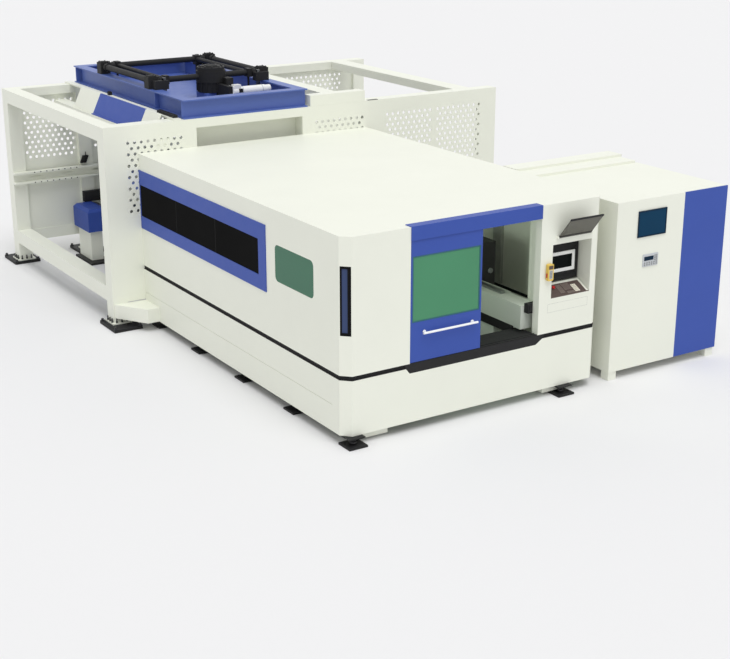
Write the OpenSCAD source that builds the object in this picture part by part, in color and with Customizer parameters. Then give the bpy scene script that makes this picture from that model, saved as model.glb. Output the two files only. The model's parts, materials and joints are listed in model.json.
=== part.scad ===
// Fiber laser cutting machine: enclosed cutter, exchange table, two-bay
// loading tower with a rack lift, and a control cabinet row.
// Layout: x runs right from the enclosure's left side, y runs back from its
// front face, z runs up from the floor. The finished part stands on its
// origin, the middle of the floor area that it covers.

/* [Enclosure] */
// Width of the laser enclosure
encl_w = 3350; // [3250:10:3500]
// Length of the laser enclosure from front to back
encl_l = 4850; // [4750:10:5000]
// Height of the enclosure roof above the floor
encl_h = 2200; // [2150:10:2300]
// Leg of the chamfer on the two front corners
corner_chamfer = 95; // [80:1:110]
// Depth of the folded sheet panels
panel_t = 40; // [32:1:48]
// Clear height under the enclosure
base_gap = 110; // [100:1:125]
// Height of the black trim line above the floor
trim_z = 720; // [700:1:740]
// Width of the black trim line
trim_h = 38; // [30:1:48]
// Depth by which the trim line lies behind the panels
trim_inset = 6; // [3:1:10]
// Height of the fold line along the base panels
crease_z = 400; // [350:1:450]
// Depth of the fold line
crease_d = 5; // [3:1:8]

/* [Door] */
// Left edge of the door opening
door_x = 790; // [760:1:820]
// Width of the door opening up to the console
opening_w = 1680; // [1640:1:1720]
// Width of the sliding leaf
leaf_w = 895; // [870:1:910]
// Depth of the sliding leaf
leaf_t = 40; // [34:1:44]
// Height of the leaf below its window
leaf_rail_low = 428; // [400:1:450]
// Height of the leaf's window
leaf_window_h = 700; // [650:1:730]
// Width of the leaf's upright edges beside the window
leaf_stile = 20; // [15:1:30]
// Length of the handle bar
handle_l = 690; // [600:5:720]
// Diameter of the handle bar
handle_d = 24; // [20:1:30]
// Distance from the leaf to the middle of the handle bar
handle_reach = 48; // [40:1:60]
// Height of the handle above the leaf's lower edge
handle_z = 313; // [280:1:340]
// Height of the blue header in front of the door track
header_h = 140; // [120:1:160]
// Depth by which the header wraps over the roof
header_wrap = 106; // [90:1:125]
// Thickness of the header sheet
header_t = 8; // [5:1:10]
// Depth of the sill's top plate
sill_depth = 340; // [300:1:380]
// Drop of the sill below the trim line
sill_drop = 68; // [55:1:80]

/* [Console] */
// Depth of the console housing
console_depth = 350; // [330:1:380]
// Depth of the door jamb beside the console
jamb_depth = 100; // [92:1:112]
// Width of the jamb before the housing deepens
jamb_w = 130; // [115:1:140]
// Width of the screen recess
recess_w = 545; // [520:1:560]
// Height of the screen recess
recess_h = 600; // [560:1:620]
// Height of the recess floor
recess_z = 1147; // [1120:1:1170]
// Depth of the recess
recess_d = 250; // [240:1:270]
// Height of the screen housing
monitor_h = 425; // [390:1:440]
// Depth of the screen housing
monitor_t = 54; // [45:1:60]
// Height of the keyboard tray at its rear edge
tray_rise = 105; // [95:1:112]
// Length of the smoked lid over the recess
lid_l = 300; // [280:1:320]
// Thickness of the lid
lid_t = 12; // [8:1:14]
// Angle by which the lid stands open
lid_open = 141; // [120:1:150]
// Width of the handheld pendant
pendant_w = 75; // [68:1:80]
// Height of the handheld pendant
pendant_h = 185; // [170:1:200]
// Depth of the handheld pendant
pendant_t = 39; // [32:1:44]
// Height of the pendant above the recess floor
pendant_rise = 220; // [200:1:240]
// Diameter of the mushroom head of the emergency stop
stop_d = 42; // [36:1:48]
// Stroke of the emergency stop
stop_stroke = 6; // [4:1:7]

/* [Windows] */
// Distance of the blue side frame from the enclosure front
side_frame_y = 1575; // [1500:1:1620]
// Height of the lower edge of the side frame
side_frame_z = 1250; // [1200:1:1290]
// Height of the side frame
side_frame_h = 743; // [700:1:780]
// Front edge width of the side frame
side_frame_edge = 160; // [140:1:180]
// Thickness of the side frame plate
side_frame_t = 10; // [6:1:14]
// Length of the green viewport
viewport_l = 800; // [740:1:840]
// Height of the green viewport
viewport_h = 402; // [370:1:430]
// Radius of the viewport corners
viewport_r = 60; // [40:1:80]
// Distance of the viewport from the enclosure front
viewport_y = 583; // [540:1:620]
// Length of the upright corner lamp
lamp_l = 720; // [650:1:760]
// Width of the corner lamp
lamp_w = 116; // [100:1:118]
// Thickness of the glass panes
glass_t = 12; // [8:1:14]

/* [Bed and gantry] */
// Distance of the bed's middle from the enclosure's left side
bed_cx = 1530; // [1510:1:1550]
// Clear width between the two bed beams
bed_clear = 1680; // [1660:1:1700]
// Width of a bed beam
bed_beam_w = 240; // [220:1:260]
// Height of the bed beam tops
bed_top = 1060; // [1040:1:1075]
// Distance of the bed's front ends from the enclosure front
bed_nose_y = 180; // [160:1:220]
// Height of the underside of the bed's front ends
bed_nose_z = 790; // [775:1:830]
// Height of the linear rails
rail_h = 30; // [25:1:35]
// Width of the linear rails
rail_w = 60; // [45:1:70]
// Distance of the parked gantry from the enclosure front
gantry_y = 1200; // [1150:1:1300]
// Depth of the gantry carriages
carriage_l = 550; // [500:1:600]
// Height of the cross beam
beam_h = 250; // [220:1:280]
// Depth of the cross beam
beam_d = 290; // [260:1:320]
// Distance of the parked cutting head from the bed's middle
head_offset = 530; // [450:1:600]
// Height of the nozzle tip above the slats when raised
nozzle_clear = 100; // [90:1:120]

/* [Exchange table] */
// Length of a pallet
pallet_l = 3150; // [3050:10:3200]
// Gap between a pallet and the table rails
pallet_gap = 10; // [6:1:14]
// Height of the pallet frame
pallet_h = 80; // [70:1:90]
// Height of the slats above the pallet frame
slat_rise = 30; // [20:1:40]
// Number of slats in a pallet
slat_count = 28; // [20:1:32]
// Height of the lower track
lower_track_z = 560; // [545:1:575]
// Height difference between the two tracks
track_step = 220; // [210:1:235]
// Width of the track flanges
track_w = 58; // [50:1:65]
// Thickness of the table rails
track_t = 12; // [10:1:14]
// Start of the table rails behind the enclosure front
track_y = 900; // [860:1:940]

/* [Tower] */
// Width of the loading tower
tower_w = 6030; // [5950:10:6100]
// Depth of the loading tower
tower_d = 3740; // [3690:10:3800]
// Height of the loading tower
tower_h = 2556; // [2530:1:2600]
// Overhang of the tower beyond the enclosure's left side
tower_overhang = 450; // [420:1:480]
// Side length of the square posts
post_w = 200; // [180:1:220]
// Height of the top beams of the front and back walls
beam_top_h = 116; // [100:1:130]
// Height of the left top beam
side_beam_h = 186; // [160:1:200]
// Height of the bottom beams
bottom_beam_h = 190; // [160:1:210]
// Height of the bottom beams above the floor
bottom_beam_z = 310; // [300:1:330]
// Distance of the inner back post from the tower's left side
inner_post_x = 1030; // [1000:1:1060]
// Left edge of the exchange portal in the tower's front wall
portal_x = 810; // [780:1:840]
// Width of the exchange portal
portal_w = 1551; // [1500:1:1580]
// Thickness of the wall sheets
sheet_t = 8; // [6:1:12]
// Height of the lower edge of the perforated sheets
screen_z = 1400; // [1375:1:1425]
// Left side of the divider posts
divider_x = 3340; // [3325:1:3355]
// Height of the slotted channel on the back wall
channel_z = 1190; // [1180:1:1200]
// Height of the channel section
channel_h = 170; // [150:1:180]
// Depth of the channel section
channel_d = 90; // [80:1:100]

/* [Perforation] */
// Diameter of the round holes
hole_d = 42; // [34:1:48]
// Distance between holes in a row
hole_pitch = 90; // [84:1:92]
// Distance between rows
row_pitch = 72; // [68:1:74]
// Distance of the first row below the tower top
row_drop = 216; // [205:1:225]
// Number of rows in a front sheet
front_rows = 13; // [10:1:13]
// Number of rows in a back sheet
back_rows = 12; // [9:1:12]

/* [Lift] */
// Width of the blue lift frame
lift_w = 1800; // [1780:1:1810]
// Height of the lift frame's beams
girder_h = 240; // [220:1:260]
// Width of the girder flanges
girder_w = 150; // [140:1:160]
// Thickness of the girder flanges
girder_t = 16; // [12:1:20]
// Thickness of the girder webs
web_t = 12; // [10:1:16]
// Distance between the front and back gearboxes
gear_span = 1620; // [1560:10:1680]
// Distance of the front gearboxes behind the tower front
gear_y = 1140; // [1110:1:1160]
// Height of a gearbox
gearbox_h = 158; // [145:1:175]
// Side length of a gearbox
gearbox_w = 140; // [130:1:160]
// Diameter of the lift shafts
shaft_d = 80; // [66:1:84]
// Diameter of the shaft ends
journal_d = 60; // [50:1:62]
// Length of the shaft ends inside the gearboxes
journal_l = 40; // [30:1:45]
// Height of the shaft middles above the girders
shaft_rise = 100; // [95:1:104]
// Diameter of the tie bars between the shaft bearings
tie_d = 62; // [50:1:70]
// Diameter of the reducer body
reducer_d = 400; // [370:1:420]
// Side length of the square rack bars
rack_w = 40; // [34:1:46]
// Height of the lowered lifting frame
carrier_z = 1250; // [1200:1:1300]
// Height of the lifting frame's beams
carrier_h = 80; // [60:1:100]
// Length of the lifting frame beyond the rack bars
carrier_over = 60; // [45:1:90]
// Diameter of the suction cups
cup_d = 110; // [90:1:120]

/* [Cabinet] */
// Gap between the enclosure and the cabinet row
cabinet_gap = 190; // [160:1:220]
// Width of the cabinet row
cabinet_w = 1695; // [1650:1:1750]
// Height of the cabinet row
cabinet_h = 2085; // [2040:1:2130]
// Height of the cabinet feet
cabinet_foot_h = 105; // [90:1:120]
// Depth of the front cabinet
cabinet_d1 = 1520; // [1450:1:1560]
// Depth of the narrow middle cabinet
cabinet_d2 = 280; // [250:1:300]
// Depth of the rear cabinet
cabinet_d3 = 250; // [230:1:300]
// Height by which each cabinet rises above the one before it
cabinet_step = 28; // [20:1:36]
// Width of the display window
cabinet_screen_w = 412; // [390:1:430]
// Height of the display window
cabinet_screen_h = 287; // [270:1:300]
// Width of the control plate
control_w = 230; // [210:1:250]
// Height of the control plate
control_h = 145; // [130:1:160]
// Width of the blue front panel
blue_panel_w = 680; // [640:1:720]
// Thickness of the front panels
front_panel_t = 18; // [14:1:26]

/* [Feet] */
// Side length of the enclosure's floor pads
foot_w = 220; // [200:1:230]
// Thickness of the floor pads
pad_t = 40; // [30:1:45]
// Overhang of the tower pads to each side of a post
pad_side = 90; // [80:1:100]
// Overhang of the tower pads on the outer side
pad_out = 230; // [210:1:240]
// Overhang of the tower pads on the inner side
pad_in = 60; // [50:1:70]
// Diameter of the anchor bolt holes
anchor_d = 18; // [14:1:22]
// Distance of the anchor bolt holes from the pad edges
anchor_edge = 25; // [20:1:30]

/* [Fits] */
// Gap of a sliding face
slide_gap = 0.3; // [0.2:0.05:0.6]
// Gap at panel seams and bolted joints
seam = 0.6; // [0.3:0.1:0.8]
// Radial clearance of the lid pins
pin_clear = 0.1; // [0.05:0.01:0.2]
// Radial clearance of shafts in their bores
bore_clear = 0.3; // [0.2:0.05:0.5]
// Clearance around the rack bars
rack_clear = 0.5; // [0.3:0.1:1]

/* [Hidden] */

$fn = 48;
cut = 1;

c_white = [0.89, 0.90, 0.86];
c_blue = [0.25, 0.34, 0.66];
c_black = [0.13, 0.13, 0.14];
c_grey = [0.62, 0.63, 0.62];
c_steel = [0.70, 0.71, 0.72];
c_glass_green = [0.31, 0.58, 0.42];
c_glass_dark = [0.10, 0.10, 0.11];

// Enclosure levels and corners
sill_top = trim_z + trim_h;
wall_top = encl_h - panel_t;
inner_chamfer = corner_chamfer + panel_t * (sqrt(2) - 1);
console_x = door_x + opening_w;
wall_y = inner_chamfer + seam;

// Door levels
track_low_h = 5;
track_up_h = 35;
leaf_y = 4;
leaf_margin = 5;
pane_gap = 16;
sill_end_l = 55;
sill_end_r = 85;
sill_dip_r = 24;
leaf_x = door_x + leaf_margin;
leaf_z = sill_top + track_low_h + slide_gap;
leaf_top = wall_top - track_up_h - slide_gap;
fixed_y = leaf_y + leaf_t + pane_gap;
leaf_window_z = leaf_z + leaf_rail_low;
header_z = encl_h - header_h;

// Console places
recess_margin = 35;
monitor_rise = 13;
monitor_side = 15;
lid_rise = 78;
lid_left = 61;
lid_right = 32;
recess_x = console_x + jamb_w + recess_margin;
recess_back = recess_d;
monitor_y = recess_back - monitor_t;
monitor_z = recess_z + tray_rise + monitor_rise;
lid_axis_y = -14;
lid_axis_z = recess_z + recess_h + lid_rise;
lid_x0 = recess_x + lid_left;
lid_w = recess_w - lid_left - lid_right;
lid_tip_y = lid_axis_y - lid_l * sin(lid_open) + lid_t / 2 * cos(lid_open);
lug_w = 18;
lug_r = 12;
lug_gap = 2;
pin_r = 5;
pin_in = 20;
tray_front_h = 9;
tray_y = 2;
tray_side = 4;
tray_depth = monitor_y - 2 * tray_y;
tray_slope = atan((tray_rise - tray_front_h) / tray_depth);
stop_left = 125;
stop_share = 0.6;
stop_x = recess_x + stop_left;
stop_run = tray_depth * stop_share;
stop_stem_r = 11;
stop_hole = 17;
holder_t = 6;
holder_w = 40;
holder_h = 120;
pendant_in = 75;
pendant_x = console_x + pendant_in;
pendant_z = recess_z + pendant_rise;
pendant_r = 14;

// Side windows
window_rear = 25;
frame_low = 160;
frame_high = 183;
frame_rear = 5;
viewport_rise = 18;
pane_fit = 0.2;
window_y = side_frame_y + side_frame_edge;
window_end = encl_l - window_rear;
window_z = side_frame_z + frame_low;
window_h = side_frame_h - frame_low - frame_high;
viewport_z = window_z + viewport_rise;
lamp_z = 1180;
lamp_depth = 24;
lamp_edge = 20;
lens_back = 14;

// Bed, rails and gantry
bed_x = bed_cx - bed_clear / 2;
bed_y0 = 650;
bed_rear = 250;
bed_y1 = encl_l - bed_rear;
bed_z = 250;
bed_leg_w = 160;
bed_leg_in = 40;
stay_h = 100;
nose_in = 20;
cross_w = 200;
cross_h = 180;
cross_step = 1100;
rail_x = bed_x - bed_beam_w / 2;
rail_top = bed_top + rail_h;
carriage_z = rail_top + slide_gap;
carriage_h = 160;
carriage_in = 20;
apron_gap = 3;
apron_t = 187;
beam_z = carriage_z + carriage_h;
beam_y = gantry_y + (carriage_l - beam_d) / 2;
beam_lap = 168;
beam_end = bed_clear / 2 + beam_lap;
x_rail_t = 15;
x_rail_h = 22;
x_rail_edge = 40;
x_rail_end = 80;
drive_drop = 220;
drive_motor_r = 55;
drive_motor_l = 130;
head_x = bed_cx - head_offset;
carriage_plate_t = 30;
carriage_plate_w = 200;
head_plate_y = beam_y - x_rail_t - slide_gap;
head_y = head_plate_y - carriage_plate_t - slide_gap;
head_r = 48;

// Exchange table levels
track_x = bed_x;
upper_track_z = lower_track_z + track_step;
upper_run = upper_track_z + track_t + slide_gap;
lower_run = lower_track_z + track_t + slide_gap;
shoe_h = 28;
slat_top = upper_run + shoe_h + pallet_h + slat_rise;
pallet_x = track_x + track_t + pallet_gap;
pallet_w = bed_clear - 2 * (track_t + pallet_gap);
pallet_start = 100;
bay_start = 300;
track_short = 90;
track_foot = 60;
pallet_in_y = track_y + pallet_start;
pallet_out_y = tower_y() + bay_start;
track_end = tower_y() + tower_d - post_w - track_short;

// Tower frame
function tower_y() = encl_l;
tower_x = -tower_overhang;
tower_x1 = tower_x + tower_w;
tower_y1 = tower_y() + tower_d;
back_y = tower_y1 - post_w;
back_panel_in = 50;
back_panel_y = back_y + back_panel_in;
top_z = tower_h - beam_top_h;
front_inner = tower_y() + post_w;
foot_plate_t = 20;
foot_plate_over = 30;
post_z = pad_t + foot_plate_t;
inner_posts = [tower_x + inner_post_x];
front_posts = [tower_x, divider_x, tower_x1 - post_w];
back_posts = concat(front_posts, inner_posts);
back_bays = [
  [tower_x + post_w, inner_posts[0]],
  [inner_posts[0] + post_w, divider_x],
  [divider_x + post_w, tower_x1 - post_w]
];
portal_x1 = portal_x + portal_w;
jamb_post_w = 75;
portal_sheet_z = 1950;
portal_low_out = 130;
portal_low_x = track_x - portal_low_out;
divider_beam_out = 140;
divider_beam_x = divider_x - divider_beam_out;
divider_beam_w = 240;
divider_box_h = 144;
right_beam_in = 620;
right_beam_x = tower_x1 - right_beam_in;
right_beam_w = 280;
raised_box_d = 160;
raised_box_start = 124;
cover_beam_out = 430;
cover_beam_x = bed_x - cover_beam_out;
cover_beam_w = 180;
cover_beam_h = 100;
cover_beam_drop = 206;
cover_beam_top = tower_h - cover_beam_drop;
cover_gap = 3;
cover_y = front_inner + cover_gap;
cover_front_l = 437;
cover_blue_y = cover_y + cover_front_l + seam;
cover_blue_l = 1510;
cover_back_l = 700;
strip_out = 190;
strip_x = bed_x - strip_out;
strip_w = 100;
strip_h = 20;
field_cols = 9;
field_w = (field_cols - 1) * hole_pitch;
left_field_in = 320;
middle_field_in = 218;
right_field_in = 371;
right_field_gap = 129;
back_left_in = 255;
back_field_in = 280;
back_middle_gap = 120;
back_right_gap = 80;
row_z = tower_h - row_drop;
left_field_x = tower_x + left_field_in;
middle_field_x = portal_x1 + middle_field_in;
right_field_x = divider_x + right_field_in;
right_field_2_x = right_field_x + field_w + right_field_gap;
back_fields = [
  [tower_x + back_left_in],
  [for (i = [0:2]) inner_posts[0] + back_field_in + i * (field_w + back_middle_gap)],
  [for (i = [0:1]) divider_x + back_field_in + i * (field_w + back_right_gap)]
];

// Lift
lift_shift = 20;
lift_margin = 10;
lift_x = bed_cx - lift_w / 2 + lift_shift;
lift_cx = lift_x + lift_w / 2;
lift_y0 = tower_y() + lift_margin;
lift_y1 = tower_y1 - lift_margin;
girder_top = tower_h + girder_h;
deck_z = tower_h + girder_t + slide_gap;
deck_t = 8;
deck_top = deck_z + deck_t;
gear_x = lift_x + girder_w / 2;
gear_front = tower_y() + gear_y;
gear_back = gear_front + gear_span;
gear_mid = (gear_front + gear_back) / 2;
rack_in = 125;
rack_x = gear_x + rack_in;
rack_out = 130;
rack_front = gear_front - rack_out;
rack_low = 10;
carrier_l = gear_span + 2 * (rack_out + carrier_over);
guide_w = 100;
guide_low = 45;
guide_h = gearbox_h - guide_low;
shaft_z = girder_top + shaft_rise;
inner_face = gear_x + gearbox_w / 2;
cross_shaft_l = 2 * (lift_cx - inner_face);
side_shaft_l = gear_span - gearbox_w;
shaft_gap = 2;
collar_rise = 10;
collar_r = shaft_d / 2 + collar_rise;
collar_l = 60;
collar_in = 30;
rack_top = girder_top + gearbox_h - rack_low;
bearing_gap = 10;
bearing_in = collar_in + collar_l + bearing_gap;
bearing_w = 70;
bearing_l = 110;
bearing_h = 112;
bearing_post_r = 15;
cradle_w = 300;
cradle_h = 105;
reducer_shift = 50;
reducer_rise = 224;
reducer_cx = lift_cx + reducer_shift;
reducer_z = deck_top + cradle_h + seam;
reducer_top = girder_top + reducer_rise;
reducer_waist = 0.93;
reducer_band = 150;
motor_rise = 150;
motor_out = 440;
motor_shift = 60;
motor_end_gap = 45;
motor_z = deck_top + motor_rise;
motor_y = gear_front - motor_out;
motor_r = 58;
motor_x = reducer_cx + motor_shift;
motor_l = lift_x + lift_w - girder_w - motor_end_gap - motor_x;

// Columns under the exchange table
column_w = 180;
column_l = 470;
column_top = 470;
cap_rise = 26;
cap_top = upper_track_z + cap_rise;
cap_w = 270;
cap_l = 580;
cap_chamfer = 45;
column_in = 305;
column_y = back_y - column_in;
column_pad_front = 395;
column_pad_rear = 240;
column_pad_y0 = column_y - column_pad_front;
column_pad_y1 = column_y + column_pad_rear;
column_pad_t = 30;
column_pad_out = 30;
column_pad_in = 10;
bay_mid_y = tower_y() + tower_d / 2;

// Cabinet row
cabinet_x = encl_w + cabinet_gap;
cabinet_x1 = cabinet_x + cabinet_w;
cabinet_side = 30;
cabinet_foot_w = 120;
cabinet_foot_in = 15;
cabinet_foot_y = 40;

// Floor pads
foot_pad_t = 22;
foot_screw_d = 48;
foot_plate_h = 14;
foot_plate_x = 15;
foot_plate_y = 25;
foot_edge = 5;
corner_foot_in = 390;
foot_front = -90;
foot_count = 5;
foot_rest = 270;
foot_run = encl_l - foot_rest;
front_pad_y = tower_y() - pad_out;
divider_pad_y = tower_y() - pad_in;
back_pad_y = back_y - pad_in;
pad_l = post_w + pad_in + pad_out;
pad_w = post_w + 2 * pad_side;

// Origin at the middle of the covered floor area
origin_x = tower_x + tower_w / 2;
origin_y = (lid_tip_y + tower_y1 + pad_out) / 2;

module in_frame() {
  translate([-origin_x, -origin_y, 0]) children();
}

// Box between two opposite corners
module span(a, b) {
  translate(a) cube(b - a);
}

// Outline in the XZ plane, thickened from y0 towards the rear
module plate_xz(y0, t) {
  translate([0, y0 + t, 0]) rotate([90, 0, 0]) linear_extrude(t) children();
}

// Outline in the YZ plane, thickened from x0 towards the right
module plate_yz(x0, t) {
  translate([x0, 0, 0]) rotate([90, 0, 90]) linear_extrude(t) children();
}

// Rectangle between two opposite corners of an outline
module rect(a, b) {
  translate(a) square(b - a);
}

// Rectangle with round corners
module round_rect(a, b, r) {
  rect([a[0] + r, a[1]], [b[0] - r, b[1]]);
  rect([a[0], a[1] + r], [b[0], b[1] - r]);
  for (x = [a[0] + r, b[0] - r], y = [a[1] + r, b[1] - r])
    translate([x, y]) circle(r);
}

// A piece and its mirror image about the bed's middle
module both_sides() {
  children();
  translate([2 * bed_cx, 0, 0]) mirror([1, 0, 0]) children();
}

// A piece and its mirror image about the lift frame's middle
module lift_sides() {
  children();
  translate([2 * lift_cx, 0, 0]) mirror([1, 0, 0]) children();
}

// A piece and its mirror image about the middle of the tower's depth
module bay_ends() {
  children();
  translate([0, 2 * bay_mid_y, 0]) mirror([0, 1, 0]) children();
}

// Front chamfer frame: x along the face, y into the enclosure
module on_chamfer() {
  translate([corner_chamfer / 2, corner_chamfer / 2, 0]) rotate([0, 0, -45]) children();
}

// Round bar along X from x0 with length l
module bar_x(x0, y, z, r, l) {
  translate([x0, y, z]) rotate([0, 90, 0]) cylinder(r = r, h = l);
}

// Round bar along Y from y0 with length l
module bar_y(x, y0, z, r, l) {
  translate([x, y0, z]) rotate([-90, 0, 0]) cylinder(r = r, h = l);
}

// Front outline of the sill, with the slanted ends of its dip
module sill_outline() {
  polygon([
    [door_x - sill_end_l, trim_z],
    [door_x, trim_z - sill_drop],
    [console_x - sill_dip_r, trim_z - sill_drop],
    [console_x + sill_end_r, trim_z],
    [console_x + sill_end_r, sill_top],
    [door_x - sill_end_l, sill_top]
  ]);
}

// Plan of the folded front panel, chamfer included, from x0 to x1
module front_plan(x0, x1, inset) {
  intersection() {
    polygon([
      [inset, corner_chamfer + inset * (sqrt(2) - 1)],
      [corner_chamfer + inset * (sqrt(2) - 1), inset],
      [encl_w - corner_chamfer - inset * (sqrt(2) - 1), inset],
      [encl_w - inset, corner_chamfer + inset * (sqrt(2) - 1)],
      [encl_w - inset, inner_chamfer],
      [encl_w - panel_t, inner_chamfer],
      [encl_w - inner_chamfer, panel_t],
      [inner_chamfer, panel_t],
      [panel_t, inner_chamfer],
      [inset, inner_chamfer]
    ]);
    rect([x0, 0], [x1, inner_chamfer]);
  }
}

module base_panels() {
  crease_h = 8;
  crease_in = 120;
  crease_y = wall_y + crease_in;
  color(c_white) in_frame() {
    difference() {
      translate([0, 0, base_gap]) linear_extrude(trim_z - base_gap) front_plan(0, encl_w, 0);
      plate_xz(-cut, panel_t + 2 * cut) sill_outline();
    }
    difference() {
      span([0, wall_y, base_gap], [panel_t, encl_l, trim_z]);
      span([-cut, crease_y, crease_z], [crease_d, encl_l + cut, crease_z + crease_h]);
    }
    difference() {
      span([encl_w - panel_t, wall_y, base_gap], [encl_w, encl_l, trim_z]);
      span([encl_w - crease_d, crease_y, crease_z], [encl_w + cut, encl_l + cut, crease_z + crease_h]);
    }
  }
}

module trim_band() {
  color(c_black) in_frame() translate([0, 0, trim_z]) linear_extrude(trim_h) {
    front_plan(0, door_x - sill_end_l - seam, trim_inset);
    front_plan(console_x + sill_end_r + seam, encl_w, trim_inset);
    rect([trim_inset, inner_chamfer], [panel_t, encl_l]);
    rect([encl_w - panel_t, inner_chamfer], [encl_w - trim_inset, encl_l]);
  }
}

module door_sill() {
  plate_t = 30;
  color(c_black) in_frame() {
    plate_xz(0, panel_t) sill_outline();
    span([door_x, panel_t, sill_top - plate_t], [console_x, sill_depth, sill_top]);
  }
}

module window_outline(gap) {
  rect([window_y + gap, window_z + gap], [window_end - gap, window_z + window_h - gap]);
}

module viewport_outline(gap) {
  round_rect(
    [viewport_y + gap, viewport_z + gap],
    [viewport_y + viewport_l - gap, viewport_z + viewport_h - gap],
    viewport_r - gap
  );
}

module left_wall() {
  color(c_white) in_frame() plate_yz(0, panel_t) difference() {
    rect([wall_y, sill_top], [encl_l, wall_top]);
    window_outline(0);
    viewport_outline(0);
  }
}

module right_wall() {
  color(c_white) in_frame() span([encl_w - panel_t, wall_y, sill_top], [encl_w, encl_l, wall_top]);
}

// Four sheets around the opening through which the pallets pass
module rear_wall() {
  y0 = encl_l - panel_t;
  x0 = panel_t + seam;
  side = 50;
  below = 110;
  above = 300;
  x1 = track_x - side;
  x2 = 2 * bed_cx - x1;
  x3 = encl_w - panel_t - seam;
  z1 = lower_track_z - below;
  z2 = slat_top + above;
  color(c_white) in_frame() {
    span([x0, y0, base_gap], [x1, encl_l, wall_top]);
    span([x2, y0, base_gap], [x3, encl_l, wall_top]);
    span([x1 + seam, y0, base_gap], [x2 - seam, encl_l, z1]);
    span([x1 + seam, y0, z2], [x2 - seam, encl_l, wall_top]);
  }
}

module roof() {
  color(c_white) in_frame() translate([0, 0, wall_top]) linear_extrude(panel_t) polygon([
    [0, corner_chamfer],
    [corner_chamfer, 0],
    [encl_w - corner_chamfer, 0],
    [encl_w, corner_chamfer],
    [encl_w, encl_l],
    [0, encl_l]
  ]);
}

module lamp_channel(w, z0, z1, depth) {
  on_chamfer() span([-w / 2, -cut, z0], [w / 2, depth, z1]);
}

module front_left_panel() {
  color(c_white) in_frame() difference() {
    translate([0, 0, sill_top]) linear_extrude(wall_top - sill_top) front_plan(0, door_x, 0);
    lamp_channel(lamp_w, lamp_z, lamp_z + lamp_l, lamp_depth);
  }
}

module console_housing() {
  plan = [
    [console_x, 0],
    [encl_w - corner_chamfer, 0],
    [encl_w, corner_chamfer],
    [encl_w, inner_chamfer],
    [encl_w - panel_t - seam, inner_chamfer],
    [encl_w - panel_t - seam, console_depth],
    [console_x + jamb_w, console_depth],
    [console_x + jamb_w, jamb_depth],
    [console_x, jamb_depth]
  ];
  color(c_white) in_frame() {
    difference() {
      translate([0, 0, sill_top]) linear_extrude(wall_top - sill_top) polygon(plan);
      span([recess_x, -cut, recess_z], [recess_x + recess_w, recess_back, recess_z + recess_h]);
    }
    for (x = [lid_x0 - lug_w - lug_gap, lid_x0 + lid_w + lug_gap])
      span([x, lid_axis_y - lug_r, lid_axis_z - lug_r], [x + lug_w, 0, lid_axis_z + lug_r]);
    bar_x(lid_x0 - lug_w - lug_gap, lid_axis_y, lid_axis_z, pin_r, lug_w + pin_in);
    bar_x(lid_x0 + lid_w + lug_gap - pin_in, lid_axis_y, lid_axis_z, pin_r, lug_w + pin_in);
    translate([pendant_x + (pendant_w - holder_w) / 2, -holder_t, pendant_z + (pendant_h - holder_h) / 2])
      cube([holder_w, holder_t, holder_h]);
  }
}

module header_cap() {
  color(c_blue) in_frame() plate_yz(door_x, opening_w) polygon([
    [-header_t, header_z],
    [0, header_z],
    [0, encl_h],
    [header_wrap, encl_h],
    [header_wrap, encl_h + header_t],
    [-header_t, encl_h + header_t]
  ]);
}

module fixed_window() {
  color(c_glass_green) in_frame()
    span(
      [leaf_x, fixed_y, sill_top + track_low_h],
      [leaf_x + leaf_w, fixed_y + glass_t, leaf_top + slide_gap]
    );
}

module door_rails() {
  over = 14;
  narrow = 8;
  pocket = 4;
  z1 = sill_top + track_low_h;
  color(c_steel) in_frame() {
    span([door_x, leaf_y, leaf_top + slide_gap], [console_x, fixed_y + glass_t + over, wall_top]);
    span([door_x, leaf_y + narrow, sill_top], [console_x, leaf_y + leaf_t - narrow, z1]);
    span([door_x, fixed_y - pocket, sill_top], [console_x, fixed_y + glass_t + pocket, z1]);
  }
}

module leaf_window_outline(gap) {
  rect(
    [leaf_x + leaf_stile + gap, leaf_window_z + gap],
    [leaf_x + leaf_w - leaf_stile - gap, leaf_window_z + leaf_window_h - gap]
  );
}

module door_leaf() {
  color(c_blue) in_frame() plate_xz(leaf_y, leaf_t) difference() {
    rect([leaf_x, leaf_z], [leaf_x + leaf_w, leaf_top]);
    leaf_window_outline(0);
  }
}

module door_glass() {
  sink = 6;
  color(c_glass_green) in_frame() plate_xz(leaf_y + sink, glass_t) leaf_window_outline(pane_fit);
}

module door_handle() {
  shift = 30;
  leg_in = 40;
  leg_r = 9;
  x0 = leaf_x + leaf_w / 2 - handle_l / 2 + shift;
  z0 = leaf_z + handle_z;
  color(c_white) in_frame() {
    bar_x(x0, leaf_y - handle_reach, z0, handle_d / 2, handle_l);
    for (x = [x0 + leg_in, x0 + handle_l - leg_in])
      bar_y(x, leaf_y - handle_reach, z0, leg_r, handle_reach);
  }
}

module corner_lamp_bezel() {
  sink = 4;
  color(c_black) in_frame() on_chamfer() difference() {
    span([-lamp_w / 2, sink, lamp_z], [lamp_w / 2, lamp_depth, lamp_z + lamp_l]);
    span(
      [lamp_edge - lamp_w / 2, 0, lamp_z + lamp_edge],
      [lamp_w / 2 - lamp_edge, lens_back, lamp_z + lamp_l - lamp_edge]
    );
  }
}

module corner_lamp_lens() {
  edge = lamp_edge + pane_fit;
  sink = 7;
  color([0.22, 0.28, 0.45]) in_frame() on_chamfer()
    span([edge - lamp_w / 2, sink, lamp_z + edge], [lamp_w / 2 - edge, lens_back, lamp_z + lamp_l - edge]);
}

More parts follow.
